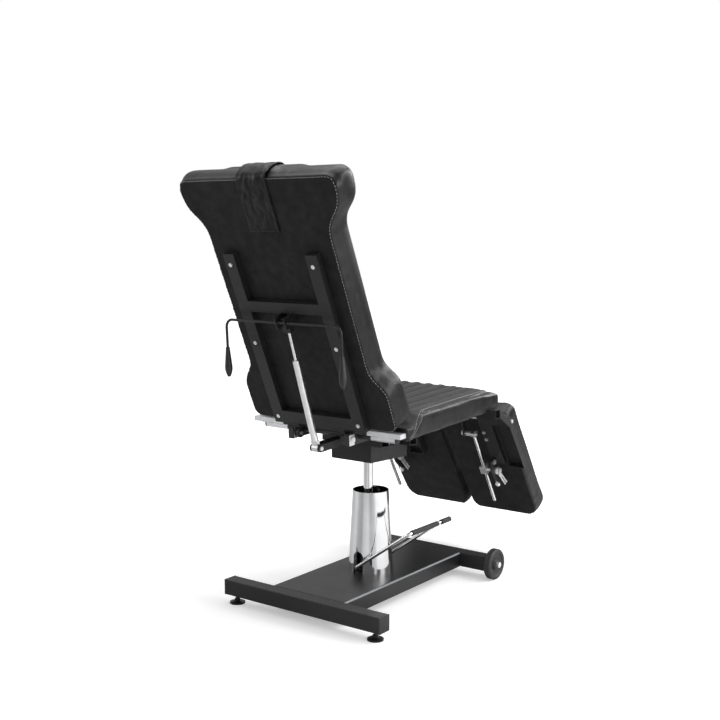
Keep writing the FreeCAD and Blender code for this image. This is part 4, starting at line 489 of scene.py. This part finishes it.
def ease(value, start, end):
    """0 before start, 1 after end, smooth between."""
    share = np.clip((value - start) / (end - start), 0, 1)
    return share * share * (3 - 2 * share)


def ripple(points, scale, seed):
    """Smooth noise between about -1 and 1, the same on every run."""
    shift = Vector((seed, 2.3 * seed, 5.1 * seed))
    return np.array([noise.noise(Vector(p) * scale + shift) for p in points])


def surveyed(piece, matrix):
    """A piece's points and outward directions in the world, then the same in a leaning frame."""
    points, outward = vectors(piece.data, "co"), vectors(piece.data, "normal")
    at = local(matrix, points)
    return points, outward, at, local(matrix, points + outward) - at


print("channels are", channel_wide, "m apart")

# %% [markdown]
# ### The backrest cushion
# A hip-to-shoulder slab of foam with a narrow waist. Its rear face is flat on the
# board, its sides bow outwards, and the roll at the top is the fattest part. The band
# that holds the neck pillow pulls it in at the middle.

# %% Backrest cushion
def back_freedom(points):
    at = local(back_frame, points)
    free = ease(-at[:, 1], 0.0215, 0.05)
    under_band = (1 - ease(np.abs(at[:, 0]), 0.05, 0.085)) * ease(at[:, 2], 0.56, 0.62)
    under_pillow = ((1 - ease(np.abs(at[:, 0]), 0.13, 0.17)) * ease(-at[:, 1], 0.085, 0.1)
                    * ease(at[:, 2], 0.5, 0.56))
    return free * (1 - 0.93 * under_band) * (1 - 0.93 * under_pillow)


back_pad = cushion(("back_cushion", "back_panel"), "back_pad", voxel=0.0078, smaller=0.0008,
                   cap=0.008, freedom=back_freedom)
back_valley = 0.0054


def shape_back(piece):
    """Upright channels in front, and short puckers where leather is pulled over the edge."""
    points, outward, at, facing = surveyed(piece, back_frame)
    front = ease(-facing[:, 1], 0.86, 0.97)
    inside = 1 - ease(np.abs(at[:, 0]), 0.176, 0.182)
    ends = ease(at[:, 2], 0.02, 0.05) * (1 - ease(at[:, 2], 0.66, 0.7))
    sewn = front * inside * ends
    # 0 in a valley and 1 on a crown; the first valley runs up the middle
    share = np.abs((at[:, 0] / channel_wide + 0.5) % 1 - 0.5) * 2
    edge = (1 - ease(-at[:, 1], 0.035, 0.075)) * ease(-at[:, 1], 0.0215, 0.026)
    pucker = ripple(at * np.array([1, 0.25, 1]), 42, 3)
    soft = ripple(at, 9, 5)
    side = 1 - ease(-facing[:, 1], 0.4, 0.8)
    move = (-sewn * (back_valley * (1 - share) ** 2.4) + 0.0011 * edge * pucker * side
            + 0.0005 * soft * side * ease(-at[:, 1], 0.04, 0.07))
    place_points(piece.data, points + outward * move[:, None])
    mark_valleys(piece, sewn * (1 - share) ** 2.5)


shape_back(back_pad)
print("backrest cushion:", len(back_pad.data.polygons), "faces")

# %% [markdown]
# ### The seat cushion
# Channels run from the backrest to the knees: a sewn valley, then a soft crown. A
# plain border goes round them, and a doubled seam joins the border to the side band
# and turns down at each rear corner. The front edge, where the knees hang over, swells
# and rolls down: the swollen sheet is moved there point by point, which keeps its seams.

# %% Seat cushion
def seat_freedom(points):
    at = local(seat_frame, points)
    rear = 1 - ease(at[:, 1], 0.1, 0.14)
    return ease(at[:, 2], 0.012, 0.035) * (0.25 + 0.75 * rear)


# The thin skirt that hides the pan's edge gets a backing, so that it outlives the remesh
skirt = [(seat_frame, low, high) for low, high in (
    ((-0.3, -0.31, 0.022), (-0.27, 0.2, 0.06)), ((0.27, -0.31, 0.022), (0.3, 0.2, 0.06)),
    ((-0.28, -0.336, 0.022), (0.28, -0.306, 0.06)),
    ((-0.29, 0.172, 0.022), (0.29, 0.206, 0.06)))]
seat_pad = cushion(("seat_cushion",), "seat_pad", voxel=0.0072, smaller=0.0004, cap=0.007,
                   freedom=seat_freedom, blocks=skirt)
print("seat cushion, swollen:", len(seat_pad.data.polygons), "faces")

# %% The seat's corners and edges
# Powers of this number make a soft square: 2 would give a circle
squareness = 8


def square_corners(at):
    """Moves the solid's round front corners, of 45 mm, out to soft squares."""
    corner = np.stack([np.abs(at[:, 0]) - 0.255, -0.291 - at[:, 1]], axis=1)
    away = np.linalg.norm(corner, axis=1)
    unit = np.abs(corner) / np.maximum(away, 1e-9)[:, None]
    squarer = np.sum(unit ** squareness, axis=1) ** (-1 / squareness) - 1
    squarer *= np.all(corner > 0, axis=1) * ease(away, 0.01, 0.04)
    at[:, 0] += np.sign(at[:, 0]) * corner[:, 0] * squarer
    at[:, 1] -= corner[:, 1] * squarer


def rolled_edges(at):
    """Brings the front and side edges in to a rounded section, widest at the front corners."""
    seat_half, front_starts, front_wide = 0.3006, 0.295, 0.055
    width, forward = np.abs(at[:, 0]), -at[:, 1]
    side_wide = 0.016 + 0.012 * ease(forward, 0.08, 0.34)
    tall = 0.016 + 0.013 * ease(forward, 0.08, 0.34)
    top = 0.098 - 0.0075 * ease(width, 0.225, 0.25)
    beside = np.maximum(width - seat_half + side_wide, 0) / side_wide
    before = np.maximum(forward - front_starts, 0) / front_wide
    above = np.maximum(at[:, 2] - top + tall, 0) / tall
    level = (beside ** squareness + before ** squareness) ** (1 / squareness)
    far = np.hypot(level, above)
    excess = np.where((level > 0) & (above > 0) & (far > 1), 1 - 1 / np.maximum(far, 1e-9), 0)
    at[:, 0] -= np.sign(at[:, 0]) * excess * beside * side_wide
    at[:, 1] += excess * before * front_wide
    at[:, 2] -= excess * above * tall


print("edges and corners have squareness", squareness)

# %% Seat channels
seat_valley = 0.0062
front_swell = 0.012


def shape_seat(piece):
    """Channels along the top, a rolled front edge, and soft shoulders at the sides."""
    points, outward, at, facing = surveyed(piece, seat_frame)
    top = ease(facing[:, 2], 0.72, 0.92)
    inside = 1 - ease(np.abs(at[:, 0]), 0.226, 0.231)
    # 0 in a valley and 1 on a crown; here a crown runs along the middle
    share = 1 - np.abs(((at[:, 0] + channel_wide / 2) / channel_wide) % 1 - 0.5) * 2
    side = 1 - ease(facing[:, 2], 0.3, 0.8)
    soft = ripple(at, 10, 11)
    move = (-seat_valley * top * inside * (1 - share) ** 2.6
            + 0.0007 * soft * side * ease(at[:, 2], 0.02, 0.04))
    at = local(seat_frame, points + outward * move[:, None])
    square_corners(at)
    at[:, 1] -= front_swell * ease(-at[:, 1], 0.25, 0.335)
    rolled_edges(at)
    place_points(piece.data, world(seat_frame, at))
    mark_valleys(piece, top * inside * (1 - share) ** 2.5)


shape_seat(seat_pad)
print("seat channels pressed", seat_valley, "m deep")

# %% [markdown]
# ### The leg pads
# The two pads mirror each other, so one is made and the other is its reflection, with
# its faces turned round again.

# %% Leg pads
def leg_freedom(points):
    at = local(leg_frame, points)
    return ease(-at[:, 1], 0.001, 0.028)


right_leg_pad = cushion(("right_leg_cushion", "right_leg_board"), "right_leg_pad",
                        voxel=0.0066, smaller=0.0012, cap=0.006, freedom=leg_freedom)


def shape_leg(piece):
    """Puckers by the board, and soft waves on the sides."""
    points, outward, at, facing = surveyed(piece, leg_frame)
    side = 1 - ease(-facing[:, 1], 0.4, 0.8)
    edge = (1 - ease(-at[:, 1], 0.012, 0.05)) * ease(-at[:, 1], 0.001, 0.006)
    pucker = ripple(at * np.array([1, 0.3, 1]), 45, 17)
    soft = ripple(at, 11, 19)
    move = side * (0.0007 * edge * pucker + 0.0009 * soft)
    place_points(piece.data, points + outward * move[:, None])


shape_leg(right_leg_pad)


def mirrored(piece, name):
    """The piece's reflection in the plane x = 0."""
    mesh = piece.data.copy()
    mesh.transform(Matrix.Scale(-1, 4, (1, 0, 0)))
    mesh.flip_normals()
    return new_piece(name, mesh, black_leather)


left_leg_pad = mirrored(right_leg_pad, "left_leg_pad")
print("leg pads:", len(right_leg_pad.data.polygons), "faces each")

# %% [markdown]
# ### The neck pillow
# A small bolster on the front of the backrest, fat in the middle and drawn in at its
# ends.

# %% Neck pillow
def pillow_freedom(points):
    at = local(back_frame, points)
    return ease(-at[:, 1], 0.124, 0.136)


neck_pad = cushion(("head_pillow",), "neck_pad", voxel=0.005, smaller=0.001, cap=0.005,
                   freedom=pillow_freedom)
print("neck pillow:", len(neck_pad.data.polygons), "faces")

# %% [markdown]
# ## The head band
# A wide band of thin leather comes up the back, over the roll and down in front, where
# it holds the neck pillow. It is one grid of faces laid along that path, rumpled a
# little, and then given its thickness.

# %% Smooth lines with even spacing
def smooth_path(corners, spacing):
    """A Catmull-Rom line through the corners, with even spacing."""
    corners = np.array(corners, float)
    padded = np.vstack([2 * corners[0] - corners[1], corners, 2 * corners[-1] - corners[-2]])
    rows = []
    for a, b, c, d in zip(padded, padded[1:], padded[2:], padded[3:]):
        for t in np.linspace(0, 1, 40, endpoint=False):
            rows.append(0.5 * (2 * b + (c - a) * t + (2 * a - 5 * b + 4 * c - d) * t ** 2
                               + (3 * b - a - 3 * c + d) * t ** 3))
    return evenly(np.array(rows + [corners[-1]]), spacing)


def evenly(line, spacing, closed=False):
    """The same line, with its points an even distance apart."""
    if closed:
        line = np.vstack([line, line[:1]])
    along = np.concatenate([[0], np.cumsum(np.linalg.norm(np.diff(line, axis=0), axis=1))])
    count = max(4, int(round(along[-1] / spacing)))
    wanted = np.linspace(0, along[-1], count + 1)[:count if closed else None]
    return np.stack([np.interp(wanted, along, line[:, k]) for k in range(line.shape[1])], axis=1)


print("line helpers ready")

# %% The band's path
band_rear, band_front, band_half, band_thick = -0.0192, -0.1163, 0.056, 0.0036
band_hem = 0.005
low_hem_top, low_hem_row = 0.631, 0.6305
band_step = 0.0042
band_path = smooth_path([
    (band_rear, 0.626), (band_rear, 0.68), (band_rear, 0.74), (band_rear - 0.0004, 0.7806),
    (-0.0258, 0.7965), (-0.0446, 0.804), (-0.0698, 0.8086), (-0.0992, 0.8014), (-0.1155, 0.783),
    (band_front, 0.74), (band_front, 0.68), (band_front, 0.615)], band_step)
band_along = np.gradient(band_path, axis=0)
band_along /= np.linalg.norm(band_along, axis=1, keepdims=True)
band_out = np.stack([band_along[:, 1], -band_along[:, 0]], axis=1)
print("band path:", len(band_path), "rows,", round(len(band_path) * band_step, 3), "m long")

# %% Head band
def rumple(x, y, z):
    """How far the leather stands off its path: a wide wave, two sizes of fold, and the hems."""
    hem = 0.0009 if abs(x) > band_half - band_hem or z < low_hem_top and y > -0.03 else 0
    wave = 0.5 + 0.5 * noise.noise(Vector((x * 14, y * 22 + z * 9, 4)) * 1.6)
    fold = abs(noise.noise(Vector((x * 34, z * 26 + x * 22, 8))))
    crease = abs(noise.noise(Vector((x * 75, z * 20 - x * 30, 21))))
    return (0.0004 + 0.003 * wave * (1 - (abs(x) / band_half) ** 4) + 0.0042 * fold
            + 0.0018 * crease + hem)


def make_band():
    across = np.linspace(-band_half, band_half, 27)
    points = []
    for (y, z), (out_y, out_z) in zip(band_path, band_out):
        for x in across:
            lift = rumple(x, y, z)
            points.append((x, y + out_y * lift, z + out_z * lift))
    wide = len(across)
    faces = [(r * wide + c, r * wide + c + 1, (r + 1) * wide + c + 1, (r + 1) * wide + c)
             for r in range(len(band_path) - 1) for c in range(wide - 1)]
    mesh = bpy.data.meshes.new("head_band")
    mesh.from_pydata([tuple(p) for p in world(back_frame, np.array(points))], [], faces)
    piece = new_piece("head_band", mesh, strap_leather)
    wall = piece.modifiers.new("thickness", "SOLIDIFY")
    wall.thickness = band_thick
    wall.offset = 1
    edge = piece.modifiers.new("soft edge", "BEVEL")
    edge.width = 0.0008
    edge.segments = 2
    edge.limit_method = "ANGLE"
    return settled(piece)


head_band = make_band()
print("head band:", len(head_band.data.polygons), "faces")

# %% [markdown]
# ## Stitches
# A stitch is a short fat thread that dips into the leather at both ends. One tree lays
# them: it turns a line of edges into a curve, spaces points along it, and puts a small
# thread at each, turned to the line and tilted by a hair. The lines are snapped to the
# finished cushions first.

# %% The stitch tree
def stitch_tree():
    tree = bpy.data.node_groups.new("stitches along a line", "GeometryNodeTree")
    sockets = {}
    for name, kind in (("Line", "Geometry"), ("Pitch", "Float"), ("Length", "Float"),
                       ("Thread", "Float"), ("Seed", "Int"), ("Material", "Material")):
        sockets[name] = tree.interface.new_socket(name, in_out="INPUT",
                                                  socket_type="NodeSocket" + kind)
    tree.interface.new_socket("Stitches", in_out="OUTPUT", socket_type="NodeSocketGeometry")
    nodes = {name: tree.nodes.new(kind) for name, kind in (
        ("given", "NodeGroupInput"), ("curve", "GeometryNodeMeshToCurve"),
        ("even", "GeometryNodeResampleCurve"), ("tangent", "GeometryNodeInputTangent"),
        ("along", "FunctionNodeAlignRotationToVector"), ("random", "FunctionNodeRandomValue"),
        ("tilt", "FunctionNodeEulerToRotation"), ("turn", "FunctionNodeRotateRotation"),
        ("ball", "GeometryNodeMeshUVSphere"), ("half", "ShaderNodeMath"),
        ("size", "ShaderNodeCombineXYZ"),
        ("thread", "GeometryNodeTransform"), ("lay", "GeometryNodeInstanceOnPoints"),
        ("real", "GeometryNodeRealizeInstances"), ("paint", "GeometryNodeSetMaterial"),
        ("made", "NodeGroupOutput"))}
    nodes["even"].mode = "LENGTH"
    nodes["along"].axis = "Z"
    nodes["random"].data_type = "FLOAT_VECTOR"
    nodes["random"].inputs["Min"].default_value = (-0.14, -0.14, 0)
    nodes["random"].inputs["Max"].default_value = (0.14, 0.14, 0)
    nodes["turn"].rotation_space = "LOCAL"
    nodes["half"].operation = "MULTIPLY"
    nodes["half"].inputs[1].default_value = 0.5
    nodes["ball"].inputs["Segments"].default_value = 6
    nodes["ball"].inputs["Rings"].default_value = 4
    for start, out, end, into in (
            ("given", "Line", "curve", "Mesh"), ("curve", "Curve", "even", "Curve"),
            ("given", "Pitch", "even", "Length"), ("tangent", "Tangent", "along", "Vector"),
            ("along", "Rotation", "turn", "Rotation"), ("given", "Seed", "random", "Seed"),
            ("random", "Value", "tilt", "Euler"), ("tilt", "Rotation", "turn", "Rotate By"),
            ("given", "Length", "half", 0), ("given", "Thread", "size", "X"),
            ("given", "Thread", "size", "Y"), ("half", "Value", "size", "Z"),
            ("ball", "Mesh", "thread", "Geometry"), ("size", "Vector", "thread", "Scale"),
            ("even", "Curve", "lay", "Points"), ("thread", "Geometry", "lay", "Instance"),
            ("turn", "Rotation", "lay", "Rotation"), ("lay", "Instances", "real", "Geometry"),
            ("real", "Geometry", "paint", "Geometry"), ("given", "Material", "paint", "Material"),
            ("paint", "Geometry", "made", "Stitches")):
        tree.links.new(nodes[start].outputs[out], nodes[end].inputs[into])
    nodes["ball"].inputs["Radius"].default_value = 1
    return tree, {name: socket.identifier for name, socket in sockets.items()}


stitching, stitch_inputs = stitch_tree()
print("stitch tree:", len(stitching.nodes), "nodes")

# %% Using the tree
def stitches(name, lines, material, pitch, length, thread, seed):
    """One mesh of stitches along lines; each line is its points and whether it closes."""
    points, edges = [], []
    for line, closed in lines:
        start = len(points)
        points += [tuple(p) for p in line]
        edges += [(start + k, start + k + 1) for k in range(len(line) - 1)]
        edges += [(start + len(line) - 1, start)] if closed else []
    mesh = bpy.data.meshes.new(name)
    mesh.from_pydata(points, edges, [])
    piece = bpy.data.objects.new(name, mesh)
    scene.collection.objects.link(piece)
    work = piece.modifiers.new("stitches", "NODES")
    work.node_group = stitching
    for key, value in (("Pitch", pitch), ("Length", length), ("Thread", thread), ("Seed", seed),
                       ("Material", material)):
        work[stitch_inputs[key]] = value
    settled(piece)
    shade(piece.data)
    print(name + ":", len(piece.data.polygons), "faces")
    return piece


print("inputs:", *stitch_inputs)

# %% Thread, and lines that lie on a surface
grey_thread = moulded("pale grey thread", (0.34, 0.34, 0.34), rough=0.6, tooth=0.00003)
dark_thread = moulded("dark grey thread", (0.06, 0.06, 0.062), rough=0.6, tooth=0.00003)


def surface(piece):
    """The piece's faces, sorted so that the nearest one to a point is found fast."""
    work = bmesh.new()
    work.from_mesh(piece.data)
    tree = BVHTree.FromBMesh(work)
    work.free()
    return tree


def snapped(line, tree, lift=0.0004):
    """The line moved onto the nearest surface, just above it."""
    rows = []
    for point in line:
        hit, outward, _, _ = tree.find_nearest(Vector(point))
        rows.append(hit + outward * lift)
    return np.array(rows)


def rim(node, outward, inset, spacing=0.004):
    """The outline of a node's flat face, moved inwards by inset."""
    mesh = merged_copy(node)
    work = bmesh.new()
    work.from_mesh(mesh)
    outward = Vector(outward).normalized()
    # A list keeps its order, so the outline starts at the same vertex in every run
    flat = [face for face in work.faces if face.normal.dot(outward) > 0.995]
    # Each vertex on the face's border leads to the next one along it
    after = {}
    for face in flat:
        for loop in face.loops:
            if sum(other in flat for other in loop.edge.link_faces) == 1:
                after[loop.vert] = loop.link_loop_next.vert
    rings = []
    while after:
        start = vert = next(iter(after))
        ring = []
        while vert in after:
            ring.append(vert.co.copy())
            vert = after.pop(vert)
        rings.append(ring)
    ring = max(rings, key=len)
    line = evenly(np.array(ring), spacing, True)
    for _ in range(3):
        line = (np.roll(line, 1, 0) + 2 * line + np.roll(line, -1, 0)) / 4
    along = np.roll(line, -1, 0) - np.roll(line, 1, 0)
    inwards = np.cross(np.array(outward), along)
    inwards /= np.linalg.norm(inwards, axis=1, keepdims=True)
    work.free()
    bpy.data.meshes.remove(mesh)
    return line + inwards * inset


rearwards = Vector((0, 1, 0))
back_out = back_frame.to_3x3() @ rearwards
leg_out = leg_frame.to_3x3() @ rearwards
print("surface helpers ready")

# %% [markdown]
# ### Rear panels
# Seen from behind, each cushion's leather is pulled round the edge of its board, and
# a vinyl panel covers the middle. The cushion already wraps the board, so the panel is
# a plate a little smaller than the board, with its rim rounded over, set flush.

# %% Vinyl panels on the boards
panel_thick = 0.0105


def rear_panel(node, name, outward, inset):
    """A thin plate inside a board's outline, with its rim rolled over."""
    ring = rim(node, outward, inset, spacing=0.006)
    work = bmesh.new()
    face = work.faces.new([work.verts.new(point) for point in ring])
    work.normal_update()
    if face.normal.dot(outward) < 0:
        face.normal_flip()
    pushed = bmesh.ops.extrude_face_region(work, geom=[face])["geom"]
    near = [item for item in pushed if isinstance(item, bmesh.types.BMVert)]
    bmesh.ops.translate(work, verts=[v for v in work.verts if v not in near],
                        vec=-panel_thick * outward)
    bmesh.ops.recalc_face_normals(work, faces=work.faces)
    mesh = bpy.data.meshes.new(name)
    work.to_mesh(mesh)
    work.free()
    piece = new_piece(name, mesh, panel_vinyl)
    edge = piece.modifiers.new("rolled rim", "BEVEL")
    edge.width = 0.0022
    edge.segments = 3
    edge.limit_method = "ANGLE"
    edge.angle_limit = math.radians(60)
    edge.harden_normals = True
    settled(piece)
    print(name + ":", len(piece.data.polygons), "faces")
    return piece


rear_cover = rear_panel("back_panel", "rear_cover", back_out, inset=0.0065)
right_leg_cover = rear_panel("right_leg_board", "right_leg_cover", leg_out, inset=0.0055)
left_leg_cover = rear_panel("left_leg_board", "left_leg_cover", leg_out, inset=0.0055)

# %% [markdown]
# ### Where the stitches go
# One row follows the whole edge of each rear panel. The seat has a doubled row along
# each side's top edge, turning down over the rear corner. The band has one row inside
# each hem.

# %% Rows round the panels
def board_row(node, name, pad, outward, inset, material, **sizes):
    """The row where a pad's leather meets its panel."""
    line = snapped(rim(node, outward, inset) + 0.003 * np.array(outward), surface(pad))
    return stitches(name, [(line, True)], material, **sizes)


panel_row = board_row("back_panel", "panel_stitches", back_pad, back_out, 0.0035, grey_thread,
                      pitch=0.0105, length=0.0074, thread=0.001, seed=4)

# %% Rows on the seat
def seat_side_line(side, apart):
    """Along the side's top edge from the front, then down the slanted rear corner."""
    corners = [(-0.345, 0.273, 0.075), (-0.31, 0.27, 0.098), (-0.1, 0.268, 0.105),
               (0.05, 0.27, 0.103), (0.092, 0.276, 0.098), (0.118, 0.286, 0.086),
               (0.142, 0.292, 0.067), (0.164, 0.293, 0.048), (0.188, 0.29, 0.03)]
    run = smooth_path([(side * (x + 0.3 * apart), y - apart, z) for y, x, z in corners], 0.003)
    return world(seat_frame, run)


seat_tree = surface(seat_pad)
seat_rows = stitches("seat_stitches", [(snapped(seat_side_line(side, apart), seat_tree), False)
                                       for side in (-1, 1) for apart in (-0.005, 0.005)],
                     grey_thread, pitch=0.0078, length=0.0056, thread=0.0008, seed=7)

# %% Rows on the band
def band_rows():
    """Lines along both hems and across the lower one, dropped onto the band from outside."""
    tree = surface(head_band)
    wide = band_half - band_hem
    above = 0.008
    outside = (band_path + above * band_out)[2:-2]
    lines = [np.column_stack([np.full(len(outside), x), outside]) for x in (-wide, wide)]
    lines.append(np.array([(x, band_rear + above, low_hem_row)
                           for x in np.linspace(-wide, wide, 30)]))
    return [(snapped(world(back_frame, line), tree, 0.0003), False) for line in lines]


band_stitch = stitches("band_stitches", band_rows(), dark_thread,
                       pitch=0.005, length=0.0037, thread=0.0005, seed=9)

# %% Rows on the leg pads
right_leg_stitch = board_row("right_leg_board", "right_leg_stitches", right_leg_pad, leg_out,
                             0.003, dark_thread, pitch=0.0068, length=0.0047, thread=0.0006,
                             seed=12)
left_leg_stitch = board_row("left_leg_board", "left_leg_stitches", left_leg_pad, leg_out,
                            0.003, dark_thread, pitch=0.0068, length=0.0047, thread=0.0006,
                            seed=13)

# %% [markdown]
# ## What each piece rides on
# Soft pieces take the place of the imported solids and move with the same bodies.

# %% Riding and replacing
for piece, node, body, fill in ((back_pad, "back_cushion", "backrest", 0.8),
                                (seat_pad, "seat_cushion", "seat", 0.8),
                                (right_leg_pad, "right_leg_cushion", "right_leg", 0.8),
                                (left_leg_pad, "left_leg_cushion", "left_leg", 0.8),
                                (neck_pad, "head_pillow", "backrest", 0.7)):
    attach(piece, body)
    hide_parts(node)

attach(head_band, "backrest")
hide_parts("head_strap")

for piece, node, body in ((rear_cover, "back_panel", "backrest"),
                          (right_leg_cover, "right_leg_board", "right_leg"),
                          (left_leg_cover, "left_leg_board", "left_leg")):
    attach(piece, body)
    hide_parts(node)

for piece, body in ((panel_row, "backrest"), (band_stitch, "backrest"), (seat_rows, "seat"),
                    (right_leg_stitch, "right_leg"), (left_leg_stitch, "left_leg")):
    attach(piece, body)
print("pieces ride on their bodies")

# %% [markdown]
# ## Floor, light and camera
# The chair stands on a white floor that melts into a white background. Camera rays see
# the floor a little brightened, which leaves only the soft shadows. Big lamps above
# and to the right draw the highlights on the leather; polished metal mirrors a white
# room with a few dark walls, which is what gives chrome its bands.

# %% Bands of the room, by compass direction
# Each is a share of the full turn and how light the wall is there
bands = ((0.0, 1.0), (0.056, 1.0), (0.12, 1.0), (0.18, 0.92), (0.208, 0.25), (0.236, 0.2),
         (0.265, 0.85), (0.494, 0.72), (0.6, 1.0), (0.665, 0.66), (0.705, 0.6), (0.75, 0.95),
         (0.8, 1.0), (0.85, 0.6), (0.9, 0.66), (0.94, 1.0))


def room_bands(tree, direction, level):
    """A grey that is light or dark by compass direction, as the walls of a studio are."""
    parts = tree.nodes.new("ShaderNodeSeparateXYZ")
    joined(tree, parts.inputs[0], direction)
    share = tree.nodes.new("ShaderNodeMapRange")
    share.inputs["From Min"].default_value = -math.pi
    share.inputs["From Max"].default_value = math.pi
    turn = maths(tree, "ARCTAN2", parts.outputs["Y"], parts.outputs["X"])
    joined(tree, share.inputs["Value"], turn)
    ramp = tree.nodes.new("ShaderNodeValToRGB")
    ramp.color_ramp.interpolation = "EASE"
    while len(ramp.color_ramp.elements) < len(bands):
        ramp.color_ramp.elements.new(0.5)
    for element, (place, value) in zip(ramp.color_ramp.elements, bands):
        element.position = place
        element.color = (value * level, value * level, value * level, 1)
    joined(tree, ramp.inputs[0], share.outputs["Result"])
    return ramp.outputs["Color"]


print("the walls change at", len(bands), "places")

# %% Floor
floor_reach = 14
floor_grey = 0.8
mirrored_floor = 0.78
mirrored_glow = 0.06


def white_floor():
    """Matt and shadowed near the chair; camera rays see it glow, the more so further out."""
    material = bpy.data.materials.new("white floor")
    material.use_nodes = True
    tree = material.node_tree
    tree.nodes.clear()
    out, both, matt, glow, path, place, far, glow_by_distance, tint = [
        tree.nodes.new("ShaderNode" + kind) for kind in (
            "OutputMaterial", "AddShader", "BsdfDiffuse", "Emission", "LightPath", "TexCoord",
            "VectorMath", "MapRange", "Mix")]
    far.operation = "LENGTH"
    joined(tree, far.inputs[0], place.outputs["Object"])
    for name, value in (("Value", far.outputs["Value"]), ("From Min", 0.6), ("From Max", 3.5),
                        ("To Min", 0.4), ("To Max", 1.0)):
        joined(tree, glow_by_distance.inputs[name], value)
    in_mirrors = maths(tree, "MULTIPLY", path.outputs["Is Glossy Ray"], mirrored_glow)
    seen = maths(tree, "MAXIMUM", path.outputs["Is Camera Ray"], in_mirrors)
    seen = maths(tree, "MAXIMUM", seen, path.outputs["Is Transmission Ray"])
    strength = maths(tree, "MULTIPLY", seen, glow_by_distance.outputs["Result"])
    tint.data_type = "RGBA"
    joined(tree, tint.inputs["Factor"], path.outputs["Is Glossy Ray"])
    joined(tree, tint.inputs[6], (floor_grey, floor_grey, floor_grey, 1))
    joined(tree, tint.inputs[7], room_bands(tree, place.outputs["Object"], mirrored_floor))
    joined(tree, matt.inputs["Color"], tint.outputs[2])
    joined(tree, glow.inputs["Strength"], strength)
    joined(tree, both.inputs[0], matt.outputs[0])
    joined(tree, both.inputs[1], glow.outputs[0])
    joined(tree, out.inputs["Surface"], both.outputs[0])
    return material


floor_mesh = bpy.data.meshes.new("floor")
floor_mesh.from_pydata([(floor_reach * x, floor_reach * y, 0)
                        for x, y in ((-1, -1), (1, -1), (1, 1), (-1, 1))], [], [(0, 1, 2, 3)])
floor = new_piece("floor", floor_mesh, white_floor(), smooth=False)
print("floor:", 2 * floor_reach, "m wide")

# %% Surroundings
low_wall, wall_rise, matt_fill = 0.33, 0.62, 0.32


def white_room():
    """White to the camera; grey walls that brighten upwards to mirrors; a fill to the rest."""
    world_light = bpy.data.worlds.new("white room")
    scene.world = world_light
    world_light.use_nodes = True
    tree = world_light.node_tree
    tree.nodes.clear()
    path = tree.nodes.new("ShaderNodeLightPath").outputs
    direction = tree.nodes.new("ShaderNodeTexCoord").outputs["Generated"]
    parts = tree.nodes.new("ShaderNodeSeparateXYZ")
    joined(tree, parts.inputs[0], direction)
    upward = maths(tree, "MAXIMUM", parts.outputs["Z"], 0.0)
    walls = maths(tree, "ADD", low_wall, maths(tree, "MULTIPLY", upward, wall_rise))
    seen = maths(tree, "MAXIMUM", path["Is Camera Ray"], path["Is Transmission Ray"])
    mirrored = maths(tree, "MULTIPLY", path["Is Glossy Ray"], walls)
    matt = maths(tree, "SUBTRACT", 1.0, maths(tree, "MAXIMUM", seen, path["Is Glossy Ray"]))
    strength = maths(tree, "ADD", maths(tree, "MAXIMUM", seen, mirrored),
                     maths(tree, "MULTIPLY", matt, matt_fill))
    glow = tree.nodes.new("ShaderNodeBackground")
    out = tree.nodes.new("ShaderNodeOutputWorld")
    joined(tree, glow.inputs["Color"], (1, 1, 1, 1))
    joined(tree, glow.inputs["Strength"], strength)
    joined(tree, out.inputs[0], glow.outputs[0])


white_room()
print("surroundings:", scene.world.name)

# %% Lamps
def soft_lamp(name, place, aim, size, power):
    """A rectangle of light with its size in metres and its power in watts."""
    lamp = bpy.data.lights.new(name, "AREA")
    lamp.shape = "RECTANGLE"
    lamp.size, lamp.size_y = size
    lamp.energy = power
    holder = bpy.data.objects.new(name, lamp)
    holder.location = place
    holder.rotation_euler = (Vector(aim) - Vector(place)).to_track_quat("-Z", "Y").to_euler()
    scene.collection.objects.link(holder)


soft_lamp("overhead", (-0.2, -0.3, 3.4), (0, 0, 0.4), size=(3.0, 3.0), power=80)
soft_lamp("right wall", (-3.4, -0.6, 1.7), (0, 0, 0.8), size=(1.6, 2.2), power=55)
soft_lamp("front", (-1.0, -3.1, 2.3), (0, 0, 0.7), size=(1.8, 1.2), power=42)
soft_lamp("low right", (-2.7, 1.5, 0.55), (-0.2, -0.4, 0.4), size=(0.7, 0.9), power=8)
soft_lamp("left wall", (3.2, 2.4, 1.8), (0, 0, 0.7), size=(2.0, 2.0), power=28)
soft_lamp("high right", (-2.1, -1.3, 2.5), (-0.25, 0.3, 0.75), size=(0.8, 0.8), power=28)
print("lamps in place")

# %% Camera
lens = bpy.data.cameras.new("camera")
lens.lens = 55.91
lens.sensor_width = 36
camera = bpy.data.objects.new("camera", lens)
camera.location = (-2.1506, 2.9987, 1.2116)
camera.rotation_euler = (math.radians(83.246), math.radians(0.056), math.radians(216.777))
scene.collection.objects.link(camera)
scene.camera = camera
scene.view_settings.view_transform = "Standard"
print("camera at", tuple(camera.location))
